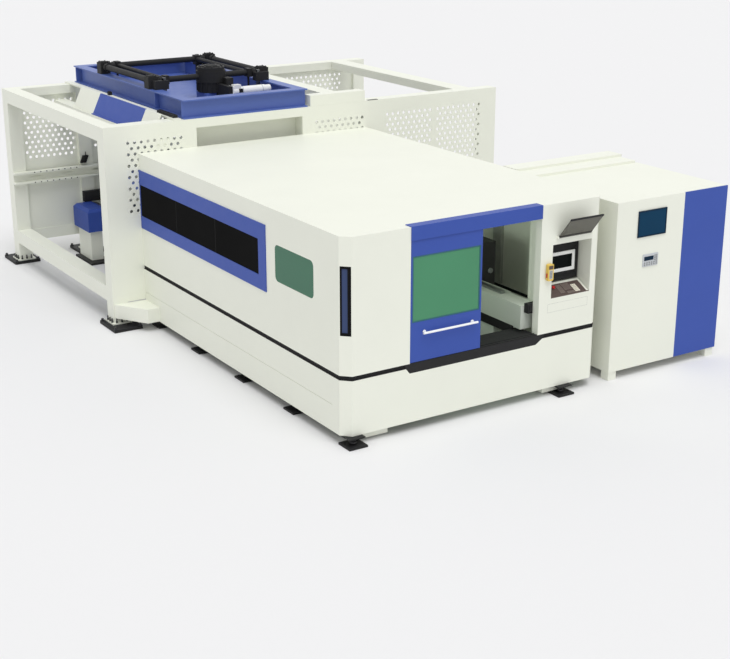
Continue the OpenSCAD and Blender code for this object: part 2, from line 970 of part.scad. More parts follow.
module side_window_frame() {
  color(c_blue) in_frame() plate_yz(-side_frame_t, side_frame_t) difference() {
    rect([side_frame_y, side_frame_z], [encl_l - frame_rear, side_frame_z + side_frame_h]);
    window_outline(0);
  }
}

module side_window_pane() {
  color(c_glass_dark) in_frame() plate_yz(-side_frame_t / 2, glass_t) window_outline(pane_fit);
}

module side_viewport() {
  sink = 2;
  color(c_glass_green) in_frame() plate_yz(sink, glass_t) viewport_outline(pane_fit);
}

// One levelling foot: floor pad, screw and the plate under the base
module levelling_foot(x, y, w) {
  span([x, y, 0], [x + w, y + w, foot_pad_t]);
  translate([x + w / 2, y + w / 2, 0]) cylinder(d = foot_screw_d, h = base_gap - foot_plate_h / 2);
  span(
    [x + foot_plate_x, y + foot_plate_y, base_gap - foot_plate_h],
    [x + w - foot_plate_x, y + w - foot_plate_y, base_gap]
  );
}

module enclosure_feet() {
  step = foot_run / (foot_count - 1);
  right_x = encl_w - foot_w;
  color(c_black) in_frame()
    for (i = [0:foot_count - 1]) {
      levelling_foot(foot_edge, foot_front + i * step, foot_w);
      levelling_foot(right_x - (i == 0 ? corner_foot_in : foot_edge), foot_front + i * step, foot_w);
    }
}

// Side beams on legs, with bolted cross members and stays to the base panels
module bed_frame() {
  leg_front = 120;
  leg_rear = 280;
  cross_front = 150;
  leg_x = bed_x - bed_beam_w + bed_leg_in;
  legs = [bed_y0 + leg_front, (bed_y0 + bed_y1) / 2, bed_y1 - leg_rear];
  cross = [for (i = [0:3]) bed_y0 + cross_front + i * cross_step];
  color(c_grey) in_frame() {
    both_sides() {
      span([bed_x - bed_beam_w, bed_y0, bed_z], [bed_x, bed_y1, bed_top]);
      span([bed_x - bed_beam_w + nose_in, bed_nose_y, bed_nose_z], [bed_x, bed_y0 - seam, bed_top]);
      for (y = legs)
        span([leg_x, y, 0], [leg_x + bed_leg_w, y + bed_leg_w, bed_z - seam]);
    }
    for (y = legs) {
      span([panel_t, y, bed_z], [bed_x - bed_beam_w - seam, y + bed_leg_w, bed_z + stay_h]);
      span(
        [bed_cx * 2 - bed_x + bed_beam_w + seam, y, bed_z],
        [encl_w - panel_t, y + bed_leg_w, bed_z + stay_h]
      );
    }
    for (y = cross)
      span([bed_x + seam, y, bed_z], [bed_x + bed_clear - seam, y + cross_w, bed_z + cross_h]);
  }
}

module guide_rails() {
  color(c_steel) in_frame() both_sides()
    span([rail_x - rail_w / 2, bed_y0, bed_top], [rail_x + rail_w / 2, bed_y1, rail_top]);
}

// End trucks on the linear rails, with a drive box outside the bed beam
module gantry_carriages() {
  x0 = bed_x - bed_beam_w - apron_gap - apron_t;
  x1 = bed_x - carriage_in;
  motor_gap = 65;
  motor_up = 75;
  color(c_black) in_frame() both_sides() {
    span([x0, gantry_y, carriage_z], [x1, gantry_y + carriage_l, beam_z]);
    span([x0, gantry_y, bed_top - drive_drop], [x0 + apron_t, gantry_y + carriage_l, beam_z + beam_h]);
    bar_x(x0 + apron_t, beam_y + beam_d + motor_gap, beam_z + motor_up, drive_motor_r, drive_motor_l);
  }
}

module gantry_beam() {
  x0 = bed_cx - beam_end;
  color(c_grey) in_frame() {
    span([x0, beam_y, beam_z], [bed_cx + beam_end, beam_y + beam_d, beam_z + beam_h]);
    for (z = [beam_z + x_rail_edge, beam_z + beam_h - x_rail_edge - x_rail_h])
      span([x0 + x_rail_end, beam_y - x_rail_t, z], [bed_cx + beam_end - x_rail_end, beam_y, z + x_rail_h]);
  }
}

module head_carriage() {
  x0 = head_x - carriage_plate_w / 2;
  y0 = head_plate_y - carriage_plate_t;
  margin = 15;
  neck = 30;
  neck_h = 160;
  z1 = beam_z + beam_h - margin;
  color(c_black) in_frame() {
    span([x0, y0, beam_z + margin], [x0 + carriage_plate_w, head_plate_y, z1]);
    span([x0 + neck, y0, z1], [x0 + carriage_plate_w - neck, head_plate_y, beam_z + beam_h + neck_h]);
  }
}

// Cutting head: slide plate, collimator body and stepped nozzle
module cutting_head() {
  plate_t = 22;
  plate_w = 90;
  plate_low = 190;
  plate_high = 120;
  weld = 8;
  tip_r = 5;
  nozzle_r = 26;
  nozzle_h = 60;
  neck_r = 34;
  neck_h = 90;
  body_h = 330;
  fiber_r = 29;
  fiber_h = 150;
  tip = slat_top + nozzle_clear;
  axis_y = head_y - plate_t - head_r + weld;
  color(c_steel) in_frame() {
    span(
      [head_x - plate_w / 2, head_y - plate_t, tip + plate_low],
      [head_x + plate_w / 2, head_y, beam_z + beam_h + plate_high]
    );
    translate([head_x, axis_y, tip]) {
      cylinder(r1 = tip_r, r2 = nozzle_r, h = nozzle_h);
      translate([0, 0, nozzle_h]) cylinder(r = neck_r, h = neck_h);
      translate([0, 0, nozzle_h + neck_h]) cylinder(r = head_r, h = body_h);
      translate([0, 0, nozzle_h + neck_h + body_h]) cylinder(r = fiber_r, h = fiber_h);
    }
  }
}

// Double channel that carries one pallet on each level, built from bolted flats
module table_rails() {
  z0 = lower_track_z - track_foot;
  flange_x = track_x + track_t + seam;
  color(c_steel) in_frame() both_sides() {
    span([track_x, track_y, z0], [track_x + track_t, track_end, upper_track_z + track_t]);
    for (z = [lower_track_z, upper_track_z])
      span([flange_x, track_y, z], [flange_x + track_w - seam, track_end, z + track_t]);
  }
}

// Pallet frame with upright slats between its side bars, running on four shoes
module pallet(y0, run) {
  z0 = run + shoe_h;
  bar = 70;
  slat_t = 6;
  slat_foot = 10;
  shoe_w = 42;
  shoe_l = 180;
  shoe_side = 2;
  shoe_in = 200;
  x1 = pallet_x + pallet_w;
  y1 = y0 + pallet_l;
  step = (pallet_l - 2 * bar) / (slat_count + 1);
  for (x = [pallet_x, x1 - bar])
    span([x, y0, z0], [x + bar, y1, z0 + pallet_h]);
  for (y = [y0, y1 - bar])
    span([pallet_x + bar + seam, y, z0], [x1 - bar - seam, y + bar, z0 + pallet_h]);
  for (i = [1:slat_count])
    span(
      [pallet_x + bar + seam, y0 + bar + i * step - slat_t / 2, z0 + slat_foot],
      [x1 - bar - seam, y0 + bar + i * step + slat_t / 2, z0 + pallet_h + slat_rise]
    );
  for (x = [pallet_x + shoe_side, x1 - shoe_side - shoe_w], y = [y0 + shoe_in, y1 - shoe_in - shoe_l])
    span([x, y, run], [x + shoe_w, y + shoe_l, z0]);
}

module upper_pallet() {
  color(c_steel) in_frame() pallet(pallet_in_y, upper_run);
}

module lower_pallet() {
  color(c_steel) in_frame() pallet(pallet_out_y, lower_run);
}

module monitor() {
  side = 60;
  low = 50;
  high = 60;
  sink = 6;
  x1 = recess_x + recess_w;
  z1 = monitor_z + monitor_h;
  color(c_black) in_frame() difference() {
    span([recess_x + monitor_side, monitor_y, monitor_z], [x1 - monitor_side, recess_back, z1]);
    span([recess_x + side, monitor_y - cut, monitor_z + low], [x1 - side, monitor_y + sink, z1 - high]);
  }
}

// Frame of the emergency stop: z along the normal of the sloping tray
module on_tray() {
  translate([stop_x, tray_y + stop_run, recess_z + tray_front_h + stop_run * tan(tray_slope)])
    rotate([tray_slope, 0, 0]) children();
}

module keyboard_tray() {
  color([0.35, 0.30, 0.28]) in_frame() difference() {
    plate_yz(recess_x + tray_side, recess_w - 2 * tray_side) polygon([
      [tray_y, recess_z],
      [tray_y + tray_depth, recess_z],
      [tray_y + tray_depth, recess_z + tray_rise],
      [tray_y, recess_z + tray_front_h]
    ]);
    on_tray() translate([0, 0, -stop_hole]) cylinder(r = stop_stem_r + bore_clear, h = stop_hole + cut);
  }
}

module emergency_stop() {
  foot_gap = 1;
  neck_h = 4;
  rim_h = 9;
  dome_h = 6;
  dome_d = 10;
  z1 = stop_stroke + neck_h;
  color([0.78, 0.10, 0.08]) in_frame() on_tray() {
    translate([0, 0, stop_stroke - stop_hole + foot_gap]) cylinder(r = stop_stem_r, h = stop_hole + neck_h);
    translate([0, 0, z1]) cylinder(d = stop_d, h = rim_h);
    translate([0, 0, z1 + rim_h]) cylinder(d1 = stop_d, d2 = stop_d - dome_d, h = dome_h);
  }
}

// Smoked lid with a barrel at its hinge edge, standing open
module console_lid() {
  barrel_r = 9;
  color([0.36, 0.36, 0.33]) in_frame() translate([lid_x0, lid_axis_y, lid_axis_z]) rotate([-lid_open, 0, 0])
    difference() {
      union() {
        span([0, -lid_t / 2, -lid_l], [lid_w, lid_t / 2, 0]);
        bar_x(0, 0, 0, barrel_r, lid_w);
      }
      bar_x(-cut, 0, 0, pin_r + pin_clear, pin_in + cut);
      bar_x(lid_w - pin_in, 0, 0, pin_r + pin_clear, pin_in + cut);
    }
}

// Handheld pendant on its holder beside the recess
module pendant() {
  color([0.86, 0.68, 0.22]) in_frame() plate_xz(-holder_t - pendant_t, pendant_t)
    round_rect([pendant_x, pendant_z], [pendant_x + pendant_w, pendant_z + pendant_h], pendant_r);
}

// Square post with a foot plate
module tower_post(x, y, z1) {
  span([x, y, post_z], [x + post_w, y + post_w, z1]);
  over = foot_plate_over;
  span([x - over, y - over, pad_t], [x + post_w + over, y + post_w + over, post_z]);
}

module tower_posts() {
  color(c_white) in_frame() {
    for (x = front_posts) {
      tower_post(x, tower_y(), tower_h);
      tower_post(x, back_y, tower_h);
    }
    for (x = inner_posts)
      tower_post(x, back_y, top_z);
  }
}

// Slotted channel along the back wall
module back_channel() {
  x0 = tower_x;
  l = tower_w;
  lip = 28;
  wall = 10;
  slot_l = 150;
  slot_h = 22;
  slot_first = 260;
  slot_step = 470;
  slot_count = 12;
  difference() {
    plate_yz(x0, l) polygon([
      [back_y - channel_d, channel_z],
      [back_y, channel_z],
      [back_y, channel_z + channel_h],
      [back_y - channel_d, channel_z + channel_h],
      [back_y - channel_d, channel_z + channel_h - lip],
      [back_y - wall, channel_z + channel_h - lip],
      [back_y - wall, channel_z + lip],
      [back_y - channel_d, channel_z + lip]
    ]);
    for (i = [0:slot_count - 1])
      translate([x0 + slot_first + i * slot_step, back_y - wall - cut, channel_z + channel_h / 2 - slot_h / 2])
        cube([slot_l, wall + 2 * cut, slot_h]);
  }
}

// Beams between the posts; a seam keeps each one a piece of its own
module tower_beams() {
  y0 = front_inner + seam;
  y1 = back_y - seam;
  right_x = tower_x1 - post_w;
  color(c_white) in_frame() {
    for (y = [tower_y(), back_y], bay = [[tower_x + post_w, divider_x], [divider_x + post_w, right_x]])
      span([bay[0], y, top_z], [bay[1], y + post_w, tower_h]);
    span([tower_x, y0, tower_h - side_beam_h], [tower_x + post_w, y1, tower_h]);
    span([right_beam_x, y0, top_z], [right_beam_x + right_beam_w, y1, tower_h]);
    span([divider_beam_x, y0, top_z], [divider_beam_x + divider_beam_w, y1, tower_h]);
    span(
      [cover_beam_x, tower_y() + sheet_t, cover_beam_top - cover_beam_h],
      [cover_beam_x + cover_beam_w, back_panel_y, cover_beam_top]
    );
    span([strip_x, tower_y(), tower_h + seam], [strip_x + strip_w, tower_y1, tower_h + seam + strip_h]);
    for (x = [tower_x, right_x])
      span([x, y0, bottom_beam_z], [x + post_w, y1, bottom_beam_z + bottom_beam_h]);
    for (x = [portal_x - jamb_post_w, portal_x1])
      span([x, tower_y() + sheet_t, screen_z], [x + jamb_post_w, front_inner, top_z - seam]);
    span(
      [portal_x1 + raised_box_start, tower_y(), tower_h + seam],
      [divider_x, tower_y() + raised_box_d, tower_h + divider_box_h]
    );
    back_channel();
  }
}

// Round holes in staggered rows; the top left hole is at x0, row_z
module hole_field(x0, cols, rows) {
  for (r = [0:rows - 1], c = [0:cols - 1 - r % 2])
    translate([x0 + c * hole_pitch + (r % 2) * hole_pitch / 2, row_z - r * row_pitch]) circle(d = hole_d);
}

// Perforated and lower sheets left of the portal, and the sheet that closes the portal's top
module front_screen_left() {
  x0 = tower_x + post_w;
  color(c_white) in_frame() {
    plate_xz(tower_y(), sheet_t) {
      difference() {
        rect([x0, screen_z], [portal_x, top_z]);
        hole_field(left_field_x, field_cols, front_rows);
      }
      rect([x0, bottom_beam_z], [portal_low_x, screen_z - seam]);
    }
    span([portal_x, front_inner - sheet_t, portal_sheet_z], [portal_x1, front_inner, top_z - seam]);
  }
}

module front_screen_right() {
  x1 = tower_x1 - post_w;
  color(c_white) in_frame() plate_xz(tower_y(), sheet_t) {
    difference() {
      rect([portal_x1, screen_z], [divider_x, top_z]);
      hole_field(middle_field_x, field_cols, front_rows);
    }
    difference() {
      rect([divider_x + post_w, screen_z], [x1, top_z]);
      hole_field(right_field_x, field_cols, front_rows);
      hole_field(right_field_2_x, field_cols, front_rows);
    }
    rect([2 * bed_cx - portal_low_x, bottom_beam_z], [divider_x, screen_z - seam]);
    rect([divider_x + post_w, bottom_beam_z], [x1, screen_z - seam]);
  }
}

// Perforated sheets above the channel and folded sheets below it
module back_wall_panels() {
  kick_h = 160;
  kick_t = 15;
  panel_gap = 15;
  y0 = back_panel_y;
  upper_z = channel_z + channel_h + panel_gap;
  color(c_white) in_frame() {
    plate_xz(y0, sheet_t)
      for (i = [0:len(back_bays) - 1])
        difference() {
          rect([back_bays[i][0], upper_z], [back_bays[i][1], top_z]);
          for (x = back_fields[i])
            hole_field(x, field_cols, back_rows);
        }
    for (bay = back_bays) {
      span([bay[0], y0, bottom_beam_z], [bay[1], y0 + sheet_t, upper_z - seam]);
      span([bay[0], y0 - kick_t, bottom_beam_z], [bay[1], y0, bottom_beam_z + kick_h]);
    }
  }
}

// Black floor pad with four anchor bolt holes
module floor_pad(x, y) {
  difference() {
    span([x, y, 0], [x + pad_w, y + pad_l, pad_t]);
    for (px = [x + anchor_edge, x + pad_w - anchor_edge], py = [y + anchor_edge, y + pad_l - anchor_edge])
      translate([px, py, -cut]) cylinder(d = anchor_d, h = pad_t + 2 * cut);
  }
}

module tower_pads() {
  color(c_black) in_frame() {
    for (x = [tower_x, tower_x1 - post_w])
      floor_pad(x - pad_side, front_pad_y);
    floor_pad(divider_x - pad_side, divider_pad_y);
    for (x = back_posts)
      floor_pad(x - pad_side, back_pad_y);
    both_sides() bay_ends()
      span(
        [track_x - cap_w - column_pad_out, column_pad_y0, 0],
        [track_x + column_pad_in, column_pad_y1, column_pad_t]
      );
  }
}

// Tapered duct between the front left post and the enclosure's base
module link_duct() {
  lift = 10;
  h = 180;
  l = 422;
  back_in = 20;
  front_in = 285;
  color(c_white) in_frame() translate([0, 0, base_gap + lift]) linear_extrude(h) polygon([
    [tower_x + back_in, tower_y()],
    [tower_x + front_in, tower_y() - l],
    [0, tower_y() - l],
    [0, tower_y()]
  ]);
}

module support_columns() {
  color(c_white) in_frame() both_sides() bay_ends()
    span(
      [track_x - cap_w / 2 - column_w / 2, column_y - column_l / 2, column_pad_t],
      [track_x - cap_w / 2 + column_w / 2, column_y + column_l / 2, column_top]
    );
}

// Chamfered blue cap on each column, level with the upper track
module column_caps() {
  ch = cap_chamfer;
  x0 = track_x - cap_w;
  y0 = column_y - cap_l / 2;
  y1 = column_y + cap_l / 2;
  color(c_blue) in_frame() both_sides() bay_ends() intersection() {
    plate_xz(y0, cap_l) polygon([
      [x0, column_top],
      [track_x, column_top],
      [track_x, cap_top],
      [x0 + ch, cap_top],
      [x0, cap_top - ch]
    ]);
    plate_yz(x0, cap_w) polygon([
      [y0, column_top],
      [y1, column_top],
      [y1, cap_top - ch],
      [y1 - ch, cap_top],
      [y0 + ch, cap_top],
      [y0, cap_top - ch]
    ]);
  }
}

// I section with its bottom left corner at the origin of the outline
module i_section() {
  square([girder_w, girder_t]);
  translate([0, girder_h - girder_t]) square([girder_w, girder_t]);
  translate([(girder_w - web_t) / 2, 0]) square([web_t, girder_h]);
}

// A piece at the front gearboxes and its mirror image at the back ones
module gear_ends() {
  children();
  translate([0, 2 * gear_mid, 0]) mirror([0, 1, 0]) children();
}

// Four girders around the lift bay, the deck between them and the cradle
module lift_frame() {
  y0 = lift_y0 + girder_w + seam;
  y1 = lift_y1 - girder_w - seam;
  hole_room = 24;
  hole = rack_w + hole_room;
  web = (girder_w + web_t) / 2 + seam;
  color(c_blue) in_frame() {
    for (y = [lift_y0, lift_y1 - girder_w])
      plate_yz(lift_x, lift_w) translate([y, tower_h]) i_section();
    for (x = [lift_x, lift_x + lift_w - girder_w])
      plate_xz(y0, y1 - y0) translate([x, tower_h]) i_section();
    difference() {
      span([lift_x + web, y0, deck_z], [lift_x + lift_w - web, y1, deck_top]);
      lift_sides() gear_ends()
        translate([rack_x - hole / 2, rack_front - hole / 2, deck_z - cut])
          cube([hole, hole, deck_t + 2 * cut]);
    }
    span(
      [reducer_cx - cradle_w / 2, gear_front - cradle_w / 2, deck_top + seam],
      [reducer_cx + cradle_w / 2, gear_front + cradle_w / 2, reducer_z]
    );
  }
}

// Corner gearbox on the girder with the guide of its rack bar beside it
module gearbox() {
  w = rack_w + 2 * rack_clear;
  b = gearbox_w / 2;
  r = journal_d / 2 + bore_clear;
  lap = 20;
  lip = 45;
  y0 = rack_front - lip;
  difference() {
    union() {
      span([gear_x - b, gear_front - b, girder_top], [gear_x + b, gear_front + b, girder_top + gearbox_h]);
      span([gear_x - lap, y0, girder_top], [rack_x + guide_w / 2, gear_front - b, girder_top + guide_h]);
    }
    translate([rack_x - w / 2, rack_front - w / 2, girder_top - cut]) cube([w, w, gearbox_h + 2 * cut]);
    bar_x(inner_face - journal_l, gear_front, shaft_z, r, journal_l + cut);
    bar_y(gear_x, gear_front + b - journal_l, shaft_z, r, journal_l + cut);
  }
}

// Bearing block of a cross shaft on its post
module shaft_bearing() {
  x0 = inner_face + bearing_in;
  difference() {
    union() {
      translate([x0, gear_front - bearing_l / 2, shaft_z - bearing_h / 2])
        cube([bearing_w, bearing_l, bearing_h]);
      translate([x0 + bearing_w / 2, gear_front, deck_top])
        cylinder(r = bearing_post_r, h = shaft_z - deck_top);
    }
    bar_x(x0 - cut, gear_front, shaft_z, shaft_d / 2 + bore_clear, bearing_w + 2 * cut);
  }
}

// Tie bar between the two bearing blocks of one side
module bearing_tie() {
  y0 = gear_front + bearing_l / 2 + seam;
  bar_y(inner_face + bearing_in + bearing_w / 2, y0, shaft_z, tie_d / 2, 2 * (gear_mid - y0));
}

module gearboxes() {
  color(c_black) in_frame() lift_sides() {
    gear_ends() {
      gearbox();
      shaft_bearing();
    }
    bearing_tie();
  }
}

// Reducer barrel in the cradle, with a bore for the front shaft, a worm housing and the motor's adapter
module reducer() {
  r = reducer_d / 2;
  worm_w = 105;
  worm_l = 160;
  worm_h = 140;
  worm_side = 95;
  worm_out = 270;
  worm_x = reducer_cx + worm_side;
  worm_y = gear_front - worm_out;
  adapter_w = 60;
  adapter_y = 80;
  adapter_gap = 5;
  color(c_black) in_frame() difference() {
    union() {
      translate([reducer_cx, gear_front, reducer_z])
        cylinder(r = r * reducer_waist, h = reducer_top - reducer_z);
      translate([reducer_cx, gear_front, shaft_z - reducer_band / 2]) cylinder(r = r, h = reducer_band);
      translate([worm_x, worm_y, reducer_z + motor_r]) cube([worm_w, worm_l, worm_h]);
      span(
        [motor_x - adapter_w, motor_y - adapter_y, motor_z - adapter_y],
        [motor_x, gear_front - cradle_w / 2 - adapter_gap, motor_z + adapter_y]
      );
    }
    bar_x(reducer_cx - r - cut, gear_front, shaft_z, shaft_d / 2 + bore_clear, reducer_d + 2 * cut);
  }
}

module lift_motor() {
  tail = 80;
  tail_r = 52;
  flange_t = 24;
  flange_h = 74;
  box_x = 45;
  box_l = 100;
  box_w = 90;
  box_h = 88;
  color([0.93, 0.93, 0.92]) in_frame() {
    span(
      [motor_x, motor_y - flange_h, motor_z - flange_h],
      [motor_x + flange_t, motor_y + flange_h, motor_z + flange_h]
    );
    bar_x(motor_x, motor_y, motor_z, motor_r, motor_l - tail);
    bar_x(motor_x + motor_l - tail, motor_y, motor_z, tail_r, tail);
    translate([motor_x + box_x, motor_y - box_w / 2, motor_z]) cube([box_l, box_w, box_h]);
  }
}

// Shaft along Z from 0 to l, with collars and thinner ends
module lift_shaft(l) {
  inset = shaft_gap + collar_in;
  translate([0, 0, shaft_gap]) cylinder(d = shaft_d, h = l - 2 * shaft_gap);
  translate([0, 0, shaft_gap - journal_l]) cylinder(d = journal_d, h = l + 2 * journal_l - 2 * shaft_gap);
  for (z = [inset, l - inset - collar_l])
    translate([0, 0, z]) cylinder(r = collar_r, h = collar_l);
}

module side_shaft() {
  translate([gear_x, gear_front + gearbox_w / 2, shaft_z]) rotate([-90, 0, 0]) lift_shaft(side_shaft_l);
}

module cross_shaft(y) {
  translate([inner_face, y, shaft_z]) rotate([0, 90, 0]) lift_shaft(cross_shaft_l);
}

module shaft_left() {
  color(c_black) in_frame() side_shaft();
}

module shaft_right() {
  color(c_black) in_frame() translate([2 * lift_cx, 0, 0]) mirror([1, 0, 0]) side_shaft();
}

module shaft_back() {
  color(c_black) in_frame() cross_shaft(gear_back);
}

module shaft_front() {
  color(c_black) in_frame() cross_shaft(gear_front);
}

// Lifting frame that hangs on the rack bars: three long beams, rungs between them and suction cups below
module lift_carrier() {
  y0 = gear_mid - carrier_l / 2;
  z1 = carrier_z + carrier_h;
  beam_w = 80;
  rungs = 4;
  rung_low = 20;
  step = (carrier_l - beam_w) / (rungs - 1);
  rung_x = rack_x + beam_w / 2 + seam;
  rung_end = lift_cx - beam_w / 2 - seam;
  cup_in = 220;
  color(c_blue) in_frame() {
    for (x = [rack_x, lift_cx, 2 * lift_cx - rack_x])
      span([x - beam_w / 2, y0, carrier_z], [x + beam_w / 2, y0 + carrier_l, z1]);
    for (i = [0:rungs - 1]) {
      lift_sides() {
        span([rung_x, y0 + i * step, carrier_z], [rung_end, y0 + i * step + beam_w, z1 - rung_low]);
        suction_cup(rack_x + cup_in, y0 + i * step + beam_w / 2);
      }
      suction_cup(lift_cx, y0 + i * step + beam_w / 2);
    }
  }
}

// Suction cup on its stem under the lifting frame
module suction_cup(x, y) {
  drop = 90;
  rim = 22;
  stem_d = 30;
  root = 5;
  translate([x, y, carrier_z - drop]) {
    cylinder(d = cup_d, h = rim);
    cylinder(d = stem_d, h = drop + root);
  }
}

module rack_bars() {
  color(c_steel) in_frame() lift_sides() gear_ends()
    span(
      [rack_x - rack_w / 2, rack_front - rack_w / 2, carrier_z + carrier_h],
      [rack_x + rack_w / 2, rack_front + rack_w / 2, rack_top]
    );
}

// Sloping cover that stands on the cover beam, with a lip at its foot
module cover_profile(lip) {
  edge = 20;
  lean = 130;
  rise = 270;
  t = 22;
  lip_t = 12;
  x0 = cover_beam_x + edge;
  z0 = cover_beam_top;
  polygon([
    [x0 - lip, z0],
    [x0 + t, z0],
    [x0 + t + lean, z0 + rise],
    [x0 + lean, z0 + rise],
    [x0 + lip_t / 2, z0 + lip_t],
    [x0 - lip, z0 + lip_t]
  ]);
}

module side_cover_white() {
  color(c_white) in_frame() {
    plate_xz(cover_y, cover_front_l) cover_profile(0);
    plate_xz(cover_blue_y + cover_blue_l + seam, cover_back_l) cover_profile(0);
  }
}

module side_cover_blue() {
  lip = 18;
  color(c_blue) in_frame() plate_xz(cover_blue_y, cover_blue_l) cover_profile(lip);
}

// Three cabinets in a row on block feet, each a little taller than the one in front
module cabinet_bodies() {
  foot = cabinet_foot_w;
  x1 = cabinet_x1;
  y1 = front_panel_t;
  y2 = cabinet_d1;
  y3 = cabinet_d1 + cabinet_d2;
  y4 = cabinet_d1 + cabinet_d2 + cabinet_d3;
  color(c_white) in_frame() {
    span([cabinet_x, y1, cabinet_foot_h], [x1, y2, cabinet_h]);
    span([cabinet_x, 0, cabinet_foot_h], [x1 - blue_panel_w - seam, y1, cabinet_h]);
    span(
      [cabinet_x + cabinet_side, y2 + seam, cabinet_foot_h],
      [x1 - cabinet_side, y3 - seam, cabinet_h + cabinet_step]
    );
    span([cabinet_x, y3, cabinet_foot_h], [x1, y4, cabinet_h + 2 * cabinet_step]);
    for (
      x = [cabinet_x + cabinet_foot_in, x1 - cabinet_foot_in - foot],
      y = [y1, y2 - foot - cabinet_foot_y, y3 + cabinet_foot_y]
    )
      span([x, y, 0], [x + foot, y + foot, cabinet_foot_h]);
  }
}

module cabinet_blue_panel() {
  color(c_blue) in_frame()
    span([cabinet_x1 - blue_panel_w, 0, cabinet_foot_h], [cabinet_x1, front_panel_t - seam, cabinet_h]);
}

module cabinet_screen() {
  t = 8;
  r = 12;
  left = 318;
  drop = 138;
  x0 = cabinet_x + left;
  z1 = cabinet_h - drop;
  color([0.08, 0.22, 0.33]) in_frame() plate_xz(-t, t)
    round_rect([x0, z1 - cabinet_screen_h], [x0 + cabinet_screen_w, z1], r);
}

module cabinet_control_panel() {
  t = 10;
  r = 10;
  left = 415;
  drop = 643;
  x0 = cabinet_x + left;
  z1 = cabinet_h - drop;
  color([0.80, 0.81, 0.82]) in_frame() plate_xz(-t, t)
    round_rect([x0, z1 - control_h], [x0 + control_w, z1], r);
}

base_panels();
trim_band();
door_sill();
left_wall();
right_wall();
rear_wall();
roof();
front_left_panel();
console_housing();
header_cap();
fixed_window();
door_rails();
door_leaf();
door_glass();
door_handle();
corner_lamp_bezel();
corner_lamp_lens();
side_window_frame();
side_window_pane();
side_viewport();
enclosure_feet();
bed_frame();
guide_rails();
gantry_carriages();
gantry_beam();
head_carriage();
cutting_head();
table_rails();
upper_pallet();
lower_pallet();
monitor();
keyboard_tray();
emergency_stop();
console_lid();
pendant();
tower_posts();
tower_beams();
front_screen_left();
front_screen_right();
back_wall_panels();
tower_pads();
link_duct();
support_columns();
column_caps();
lift_frame();
gearboxes();
reducer();
lift_motor();
shaft_left();
shaft_right();
shaft_back();
shaft_front();
lift_carrier();
rack_bars();
side_cover_white();
side_cover_blue();
cabinet_bodies();
cabinet_blue_panel();
cabinet_screen();
cabinet_control_panel();
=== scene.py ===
"""Dresses the packed fiber laser cutting machine for its studio picture.

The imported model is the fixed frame. Each sub-assembly of the machine is a class that holds its
sizes, models the small pieces that the solids leave out, and gives its nodes their finishes.
"""

import json
import logging
import math
from dataclasses import dataclass, field
from enum import Enum
from typing import Iterable, Sequence

import bmesh
import bpy
from mathutils import Matrix, Vector

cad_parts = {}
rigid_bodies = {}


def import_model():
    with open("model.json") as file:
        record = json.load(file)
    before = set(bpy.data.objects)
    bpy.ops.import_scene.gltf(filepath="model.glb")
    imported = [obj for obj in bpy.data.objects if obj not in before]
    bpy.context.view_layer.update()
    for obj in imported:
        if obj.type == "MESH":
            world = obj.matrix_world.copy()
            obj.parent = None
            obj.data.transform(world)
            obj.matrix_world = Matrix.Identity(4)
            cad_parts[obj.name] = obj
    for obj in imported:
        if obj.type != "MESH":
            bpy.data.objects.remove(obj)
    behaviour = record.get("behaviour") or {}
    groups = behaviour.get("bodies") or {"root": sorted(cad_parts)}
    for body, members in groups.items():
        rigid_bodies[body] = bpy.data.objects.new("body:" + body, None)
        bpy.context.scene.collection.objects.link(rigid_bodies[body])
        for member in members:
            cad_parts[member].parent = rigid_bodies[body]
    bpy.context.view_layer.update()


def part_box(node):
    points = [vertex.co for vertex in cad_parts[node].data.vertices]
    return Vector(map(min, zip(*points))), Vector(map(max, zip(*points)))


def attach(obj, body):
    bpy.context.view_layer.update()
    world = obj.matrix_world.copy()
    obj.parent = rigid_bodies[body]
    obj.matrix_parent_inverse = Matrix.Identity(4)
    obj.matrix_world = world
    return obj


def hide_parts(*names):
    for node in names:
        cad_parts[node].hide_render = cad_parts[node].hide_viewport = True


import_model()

LOG = logging.getLogger("laser_cutter")
ALONG = 0.99
SAME_LEVEL = 1e-5
SHARP_ANGLE = math.radians(35)

Span = tuple[float, float]
Point = tuple[float, float, float]
Colour = tuple[float, float, float]
Box = tuple[Point, Point]


class Side(Enum):
    """Outward directions of the faces that are worked on a block."""

    LEFT = (-1.0, 0.0, 0.0)
    RIGHT = (1.0, 0.0, 0.0)
    FRONT = (0.0, -1.0, 0.0)
    BOTTOM = (0.0, 0.0, -1.0)
    TOP = (0.0, 0.0, 1.0)


class Axis(Enum):
    """Directions along which a rod can lie, as turns of an upright rod."""

    X = (0.0, math.pi / 2, 0.0)
    Y = (math.pi / 2, 0.0, 0.0)
    Z = (0.0, 0.0, 0.0)


class Pick(Enum):
    """What is picked in edit mode."""

    FACES = "FACE"
    EDGES = "EDGE"


def srgb(red: int, green: int, blue: int) -> Colour:
    """Turns a display colour into the linear colour that a shader takes.

    Args:
        red: Red from 0 to 255.
        green: Green from 0 to 255.
        blue: Blue from 0 to 255.

    Returns:
        The linear colour.
    """

    def linear(value: int) -> float:
        """Undoes the display curve of one channel."""
        share = value / 255.0
        return share / 12.92 if share <= 0.04045 else ((share + 0.055) / 1.055) ** 2.4

    return linear(red), linear(green), linear(blue)


@dataclass(frozen=True)
class Panel:
    """A panel on one side of a piece.

    The border round it stays, and the panel stands out by its depth, or is sunk where that is negative.
    The piece's edges are then rounded, or left for later where the edge is 0.
    """

    border: float
    depth: float
    edge: float = 0.0
    steps: int = 2


